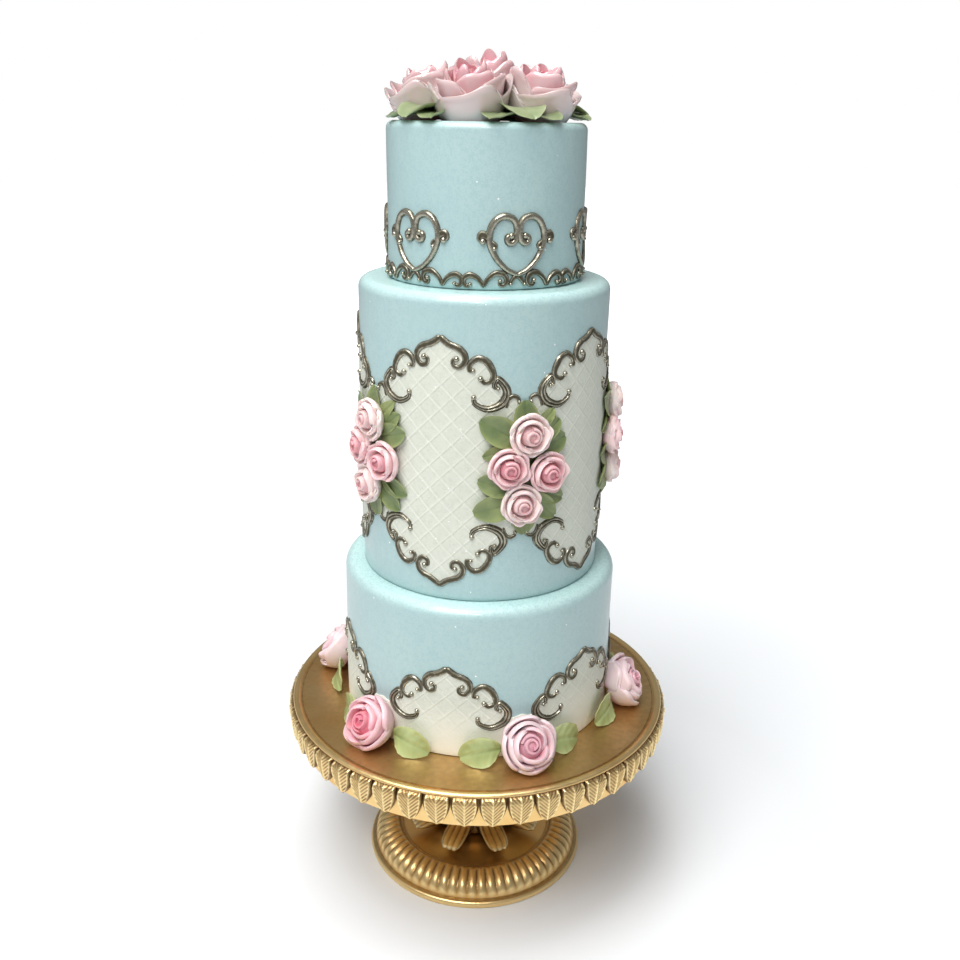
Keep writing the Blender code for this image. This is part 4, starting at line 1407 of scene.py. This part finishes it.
@dataclass
class Rose:
    """A rose drawn round the Z axis with its back at 0.

    The thickness is that of its petals in millimetres, and the body inside them
    is filled to the fill share of the depth.
    """

    radius: float
    depth: float
    rows: tuple[PetalRow, ...]
    bud: Bud
    thickness: float
    seed: int
    fill: float
    # Points up and across each petal
    grid: tuple[int, int] = (15, 21)

    def petal(self, row: PetalRow, middle: float, chance: np.random.Generator) -> Array:
        """The inner face of one petal, as a grid from foot to lip.

        Going up, the radius grows with the 0.8th power of a quarter sine, so
        that the petal bellies out, and the petal widens and then rounds in.
        The lip is the square of the last third, added outward and taken off
        the height. The top edge falls away to both sides, and slants.

        Args:
            row: the row's sizes.
            middle: the petal's angle.
            chance: gives each petal its own small differences.

        Returns:
            A grid of points.
        """
        across = np.linspace(-1, 1, self.grid[1])[None, :]
        up = np.linspace(0, 1, self.grid[0])[:, None]
        size = 1 + chance.uniform(-0.05, 0.05)
        breadth = 0.62 + 0.38 * np.sin(np.minimum(up * 1.5, 1) * math.pi / 2)
        breadth = breadth * (1 - row.round * hold((up - 0.5) / 0.5) ** 2.2)
        angle = middle + across * row.span * breadth
        edge = (1 - row.droop * np.abs(across) ** 3.4) * (1 + row.slant * across * up)
        edge = edge * (1 - row.corner * across**6)
        lip = hold((up - 0.66) / 0.34) ** 2 * (1 - 2 * row.corner * across**4)
        ripple = row.wave * np.sin(across * 4.4 + chance.uniform(0, 6.28)) * up**2
        radius = (row.base + (row.rim * size - row.base) * np.sin(up * math.pi / 2) ** 0.8
                  + row.lap * across * up + row.lip * lip + 0.5 * ripple)
        height = (row.foot + (row.top * size - row.foot) * (up * edge) ** 1.15
                  - row.lip * 0.7 * lip * self.radius / self.depth + ripple)
        return polar(radius * self.radius, angle, height * self.depth)

    def add_petal(self, shell: Shell, row: PetalRow, middle: float,
                  chance: np.random.Generator) -> None:
        """Add one petal as a slab that thins at its rim."""
        inner = self.petal(row, middle, chance)
        out = np.abs(np.linspace(-1, 1, self.grid[1]))[None, :]
        up = np.linspace(0, 1, self.grid[0])[:, None]
        centre = (self.grid[0] // 2, self.grid[1] // 2)
        thin = np.sqrt((1 - out**8) * (1 - up**10)) * 0.75 + 0.25
        normal = skin_normals(inner)
        outward = unit(inner * (1.0, 1.0, 0.0))
        normal = normal * np.sign(np.sum(normal[centre] * outward[centre]))
        outer = inner + normal * (self.thickness * thin)[..., None]
        # Painted shade at the petal's foot, where it sinks between the rows
        fold = hold(1 - up * 2.4) + 0 * out
        # Painted highlight: the tint fades at the rims, so they show paler
        rim = 1 - 0.45 * np.maximum(up**14, out**18)
        front = row.tint * (1.08 - 0.3 * up) * rim
        back = row.tint * (0.35 + 0.35 * up**3) * rim
        shell.slab(inner, outer, fold, front, back)

    def add_bud(self, shell: Shell) -> None:
        """Add the wound heart: one strip whose radius grows and whose top falls as it turns."""
        bud = self.bud
        wound = np.linspace(0, 1, int(bud.turns * 34))[None, :]
        up = np.linspace(0, 1, 12)[:, None]
        radius = bud.inner + (bud.outer - bud.inner) * wound + bud.flare * up**3
        rim = bud.top + (bud.rim - bud.top) * wound
        ripple = 0.015 * np.sin(wound * bud.turns * 9.0) * up
        height = bud.foot + (rim - bud.foot) * up + ripple - bud.flare * 0.4 * up**6
        inner = polar(radius * self.radius, wound * bud.turns * 360, height * self.depth)
        outer = polar((radius * self.radius + self.thickness * (0.9 - 0.5 * up**4)),
                      wound * bud.turns * 360, height * self.depth)
        # The bud's foot carries painted shade
        shell.slab(inner, outer, hold(1 - up * 1.5) + 0 * wound, 1.0 - 0.1 * up + 0 * wound,
                   0.8 - 0.25 * wound + 0 * up)

    def build(self) -> Shell:
        """Gather the whole rose: its body, its rows of petals and its heart."""
        chance = np.random.default_rng(self.seed)
        shell = Shell()
        first = self.rows[0]
        body = np.array([(0.02, 0.02), (first.base * 0.9, 0.0), (first.base * 1.12, 0.2),
                         (first.base, self.fill * 0.7), (self.bud.outer * 1.3, self.fill),
                         (self.bud.outer * 0.6, self.fill * 1.15), (0.02, self.fill * 1.2)])
        body = body * (self.radius, self.depth)
        # The body shows only in the gaps between petals and is darkened there as painted shade
        shell.tube(turned(smooth_line(body, self.radius * 0.08), 40), 0.75, 0.75)
        for row in self.rows:
            for index in range(row.count):
                middle = (index + row.turn) * 360 / row.count + chance.uniform(-5, 5)
                self.add_petal(shell, row, middle, chance)
        self.add_bud(shell)
        return shell

    def place(self, position: Array, outward: Array, spin: float) -> Shell:
        """The rose, built and set facing outward at a place."""
        shell = self.build()
        shell.points = [aimed(points, position, outward, spin) for points in shell.points]
        return shell


@dataclass
class Roses:
    """All the roses: four to a cluster, six at the foot and six on the top."""

    # Finish, sideways from the cluster's middle and height of each rose in a cluster
    spots: tuple[tuple[str, float, float], ...] = (
        ("pale", 1.3, 253.6), ("deep", -6.8, 239.2), ("deep", 9.9, 235.9), ("pale", -1.4, 222.4))
    cluster_out: float = 2.3
    # The foot roses' middles, and how far each one's back lies behind its middle
    foot_reach: float = 77.6
    foot_height: float = 12.0
    foot_back: float = 7.5
    foot_rise: float = 30.0
    # The top ring: its radius, first angle, outward lean and seat over the tier
    ring_reach: float = 24.4
    ring_phase: float = -33.0
    ring_lean: float = 13.0
    seat: float = TOP_TOP + 4.3
    peak: float = 405.2

    def build_middle(self, palette: Palette) -> None:
        """The clusters' roses: low, round and wound like a whorl."""
        for cluster in range(PANELS):
            for index, (kind, sideways, height) in enumerate(self.spots):
                rose = Rose(8.6, 8.4, CLUSTER_ROWS, CLUSTER_BUD, thickness=1.8,
                            seed=100 + cluster * 4 + index, fill=0.66)
                angle = cluster * 360 / PANELS + math.degrees(sideways / MIDDLE_RADIUS)
                outward = polar(1.0, angle, 0.0)
                position = outward * (MIDDLE_RADIUS + self.cluster_out) + (0, 0, height)
                shell = rose.place(position, outward, 37 * index + 20 * cluster)
                node = f"rose_middle_{cluster + 1}_{index + 1}"
                shell.piece(f"look_{node}", palette[f"petal_{kind}"], "rose_pink", (node,))

    def build_bottom(self, palette: Palette) -> None:
        """The six roses in the corner of the bottom tier and the plate."""
        rise = math.radians(self.foot_rise)
        for index in range(ARCHES):
            away = polar(1.0, index * 360 / ARCHES, 0.0)
            facing = away * math.cos(rise) + (0, 0, math.sin(rise))
            centre = away * self.foot_reach + (0, 0, PLATE_TOP + self.foot_height)
            rose = Rose(12.0, 15.2, FOOT_ROWS, FOOT_BUD, thickness=2.2, seed=300 + index, fill=0.72)
            shell = rose.place(centre - facing * self.foot_back, facing, 25 * index)
            finish = "petal_pearl_deep" if index % 3 == 2 else "petal_pearl"
            node = f"rose_bottom_{index + 1}"
            shell.piece(f"look_{node}", palette[finish], "rose_pink", (node,))

    def build_top(self, palette: Palette) -> None:
        """The ring of five big glazed roses and the raised one in their middle."""
        lean = math.radians(self.ring_lean)
        for index in range(TOP_ROSES):
            away = polar(1.0, self.ring_phase + index * 360 / TOP_ROSES, 0.0)
            facing = away * math.sin(lean) + (0, 0, math.cos(lean))
            rose = Rose(15.6, 17.0, TOP_ROWS, TOP_BUD, thickness=1.6, seed=500 + index, fill=0.6)
            shell = rose.place(away * self.ring_reach + (0, 0, self.seat), facing, 31 * index)
            node = f"rose_top_{index + 1}"
            shell.piece(f"look_{node}", palette["petal_glassy"], "rose_gloss", (node,))
        rose = Rose(12.4, self.peak - self.seat, CENTRE_ROWS, CENTRE_BUD, thickness=1.5, seed=600,
                    fill=0.74)
        shell = rose.place(np.array([0.0, 0.0, self.seat]), np.array([0.0, 0.0, 1.0]), 12.0)
        shell.piece("look_rose_top_centre", palette["petal_glassy"], "rose_gloss",
                    ("rose_top_centre",))

    def build(self, palette: Palette) -> None:
        """Build them all."""
        self.build_middle(palette)
        self.build_bottom(palette)
        self.build_top(palette)


@dataclass(frozen=True)
class Leaf:
    """A thin wavy leaf along a curved spine.

    The spine is a quadratic curve from base to tip that bends towards pull. The
    half width is a flattened sine bump that is widest near the middle, along
    the side direction. Across the leaf the surface folds up from the spine by
    fold, dips along the middle vein, waves at its edges by wave, and carries
    side veins of the depth veins that slope towards the tip.
    """

    base: Triple | Array
    pull: Triple | Array
    tip: Triple | Array
    side: Triple | Array
    width: float
    fold: float
    wave: float = 0.4
    thickness: float = 0.85
    tint: float = 0.0
    veins: float = 0.16
    # Points along and across it
    grid: tuple[int, int] = (23, 15)

    def add(self, shell: Shell, outward: Array) -> None:
        """Add the leaf to a shell.

        Args:
            shell: takes the leaf.
            outward: roughly the way its upper face looks.
        """
        reach = np.linspace(0.0, 1.0, self.grid[0])[:, None]
        across = np.linspace(-1, 1, self.grid[1])[None, :]
        base, pull, tip = (np.array(spot) for spot in (self.base, self.pull, self.tip))
        spine = (1 - reach) ** 2 * base + 2 * reach * (1 - reach) * pull + reach**2 * tip
        along = unit(np.gradient(spine, axis=0))
        side = np.array(self.side)[None, :]
        side = unit(side - np.sum(side * along, axis=1, keepdims=True) * along)
        normal = np.cross(side, along)
        normal = normal * np.sign(normal @ outward)[:, None]
        inside = np.clip(reach, 0.012, 0.988)
        half = self.width / 2 * np.sin(math.pi * inside**1.12) ** 0.52
        out = np.abs(across)
        vein = bell(across * half, 0.42)
        slope = reach * 5.0 - out * 0.9
        ribs = 0.5 + 0.5 * np.cos(2 * math.pi * slope)
        lift = (self.fold * out**2 * half - 0.4 * vein - self.veins * (1 - ribs) * np.sqrt(out)
                + self.wave * np.sin(reach * 7.5 + across * 1.5) * out**2)
        spread = (across * half)[..., None] * side[:, None, :]
        front = spine[:, None, :] + spread + lift[..., None] * normal[:, None, :]
        thin = self.thickness * (0.3 + 0.7 * np.sqrt(1 - out**6))
        thin = thin * np.clip(np.minimum(reach, 1 - reach) * 9, 0.3, 1)
        back = front - thin[..., None] * normal[:, None, :]
        # Tone: darker veins and painted shade towards the base; tint: lighter edges, partly a
        # painted highlight
        tone = hold(vein * 0.7 + (1 - ribs) ** 3 * 0.3 + 1.6 * (0.35 - reach)) * (1 - out**8)
        shell.slab(front, back, tone, hold(self.tint + 0.9 * out**5 + 0 * reach))


@dataclass
class Foliage:
    """The leaves: a spray behind each cluster, two at each foot rose and a wreath on top."""

    # Each leaf of a spray: its tip's and base's places, width, rise off the wall and yellowness
    spray: tuple[tuple[float, ...], ...] = (
        (0.0, 268.2, 0.5, 250.0, 11.0, 2.0, 0.1), (13.8, 263.4, 1.5, 252.0, 6.6, 1.8, 0.8),
        (16.8, 258.4, 2.0, 247.0, 8.6, 2.2, 0.2), (20.0, 250.4, 3.0, 246.0, 11.4, 2.6, 0.1),
        (20.2, 221.6, 3.0, 229.0, 9.0, 2.0, 0.1), (16.2, 213.6, 0.5, 227.5, 10.0, 2.2, 0.1),
        (1.0, 207.0, 0.5, 224.0, 10.4, 2.0, 0.2), (-21.2, 217.8, -1.0, 224.0, 12.4, 2.6, 0.3),
        (-19.6, 232.8, -2.0, 229.5, 11.4, 2.4, 0.2), (-17.6, 243.4, -3.0, 248.5, 7.4, 2.0, 0.5),
        (-18.8, 260.2, -0.5, 249.5, 13.0, 2.8, 0.2),
    )
    # Each leaf of a gap in the wreath: base's angle, tip's radius, bend's height, width,
    # tip's angle and fold
    wreath: tuple[tuple[float, ...], ...] = (
        (0.0, 45.6, 388.0, 20.0, 4.0, 0.14), (-11.0, 45.0, 384.0, 15.0, -20.0, 0.12),
        (12.0, 45.2, 383.6, 15.0, 21.0, 0.12))
    wreath_phase: float = 3.0

    def build_sprays(self, palette: Palette) -> None:
        """The leaves that fan out behind each cluster's roses, drawn on the flat and wrapped."""
        for cluster in range(PANELS):
            shell = Shell()
            for index, (tip_s, tip_z, base_s, base_z, width, lift, tint) in enumerate(self.spray):
                base = (base_s, 1.2, base_z)
                tip = (tip_s, lift * 0.7, tip_z)
                pull = ((base_s + tip_s) / 2, lift + 0.8, (base_z + tip_z) / 2)
                side = (tip_z - base_z, 0.0, base_s - tip_s)
                leaf = Leaf(base, pull, tip, side, width, fold=0.16, thickness=0.9, tint=tint)
                leaf.add(shell, np.array([0.0, 1.0, 0.0]))
            core = smooth_line(np.array([(0.02, 0.3), (7.0, 0.3), (8.0, 1.2), (6.0, 2.2),
                                         (0.02, 2.4)]), 0.8)
            oval = turned(core, 36)
            flat = np.stack([oval[..., 0], oval[..., 2], MIRROR_Z + oval[..., 1] * 2.2], axis=-1)
            # The core behind the leaves is darkened as painted shade
            shell.tube(flat, 0.5)
            shell.bend(MIDDLE_RADIUS, cluster * 360 / PANELS)
            node = f"leaves_middle_{cluster + 1}"
            shell.piece(f"look_{node}", palette["leaf_middle"], "leaf_green", (node,))

    def build_bottom(self, palette: Palette) -> None:
        """A broad leaf on each side of a foot rose, leaning on the wall."""
        for index in range(ARCHES):
            turn = index * 360 / ARCHES
            for sign, word in ((-1, "left"), (1, "right")):
                shell = Shell()
                leaf = Leaf(base=(sign * 10.0, 4.8, PLATE_TOP + 7.4),
                            pull=(sign * 18.5, 8.6, PLATE_TOP + 9.8),
                            tip=(sign * 28.4, 5.0, PLATE_TOP + 3.0), side=(0.0, -0.25, 1.0),
                            width=14.4, fold=0.14, wave=0.5, thickness=1.2, veins=0.34)
                leaf.add(shell, np.array([0.0, 1.0, 0.3]))
                shell.bend(BOTTOM_RADIUS, turn)
                node = f"leaf_bottom_{index + 1}_{word}"
                shell.piece(f"look_{node}", palette["leaf_bottom"], "leaf_green", (node,))

    def build_top(self, palette: Palette) -> None:
        """Three leaves in each gap between the top roses, joined by a thin disc."""
        shell = Shell()
        for index in range(TOP_ROSES):
            turn = self.wreath_phase + index * 360 / TOP_ROSES
            for offset, reach, bow, width, spread, fold in self.wreath:
                base = polar(22.0, turn + offset * 0.5, TOP_TOP + 2.4)
                pull = polar(36.0, turn + offset, bow)
                tip = polar(reach, turn + spread, TOP_TOP + 1.4)
                side = polar(1.0, turn + spread * 0.6 + 90, 0.0)
                leaf = Leaf(base, pull, tip, side, width, fold, wave=0.6)
                leaf.add(shell, np.array([0.0, 0.0, 1.0]))
        core = smooth_line(np.array([(1.0, TOP_TOP + 0.3), (23.0, TOP_TOP + 0.3),
                                     (24.0, TOP_TOP + 1.0), (20.0, TOP_TOP + 1.5),
                                     (1.0, TOP_TOP + 1.5)]), 1.2)
        # The disc under the roses is darkened as painted shade
        shell.tube(turned(core, 60), 0.3)
        shell.piece("look_leaves_top", palette["leaf_top"], "leaf_green", ("leaves_top",))

    def build(self, palette: Palette) -> None:
        """Build them all."""
        self.build_sprays(palette)
        self.build_bottom(palette)
        self.build_top(palette)


def main() -> None:
    """Build the stage, the stand, the tiers and everything on them."""
    logging.basicConfig(level=logging.INFO, format="%(message)s")
    palette = Palette()
    palette.prepare()
    StudioStage().build()
    Foot().build(palette)
    Stem().build(palette)
    Plate().build(palette)
    Tier("bottom", BOTTOM_RADIUS, PLATE_TOP + GAP, BOTTOM_TOP).build(palette)
    Tier("middle", MIDDLE_RADIUS, BOTTOM_TOP + GAP, MIDDLE_TOP).build(palette)
    Tier("top", TOP_RADIUS, MIDDLE_TOP + GAP, TOP_TOP, edge=3.2).build(palette)
    LatticeField(MIDDLE_RADIUS, PANELS, periods=35, columns=164, rows=184).build("middle", palette)
    BaseField(BOTTOM_RADIUS, ARCHES, periods=41, columns=154, rows=76).build("bottom", palette)
    Scrollwork().build(palette)
    Roses().build(palette)
    Foliage().build(palette)


if __name__ == "__main__":
    main()
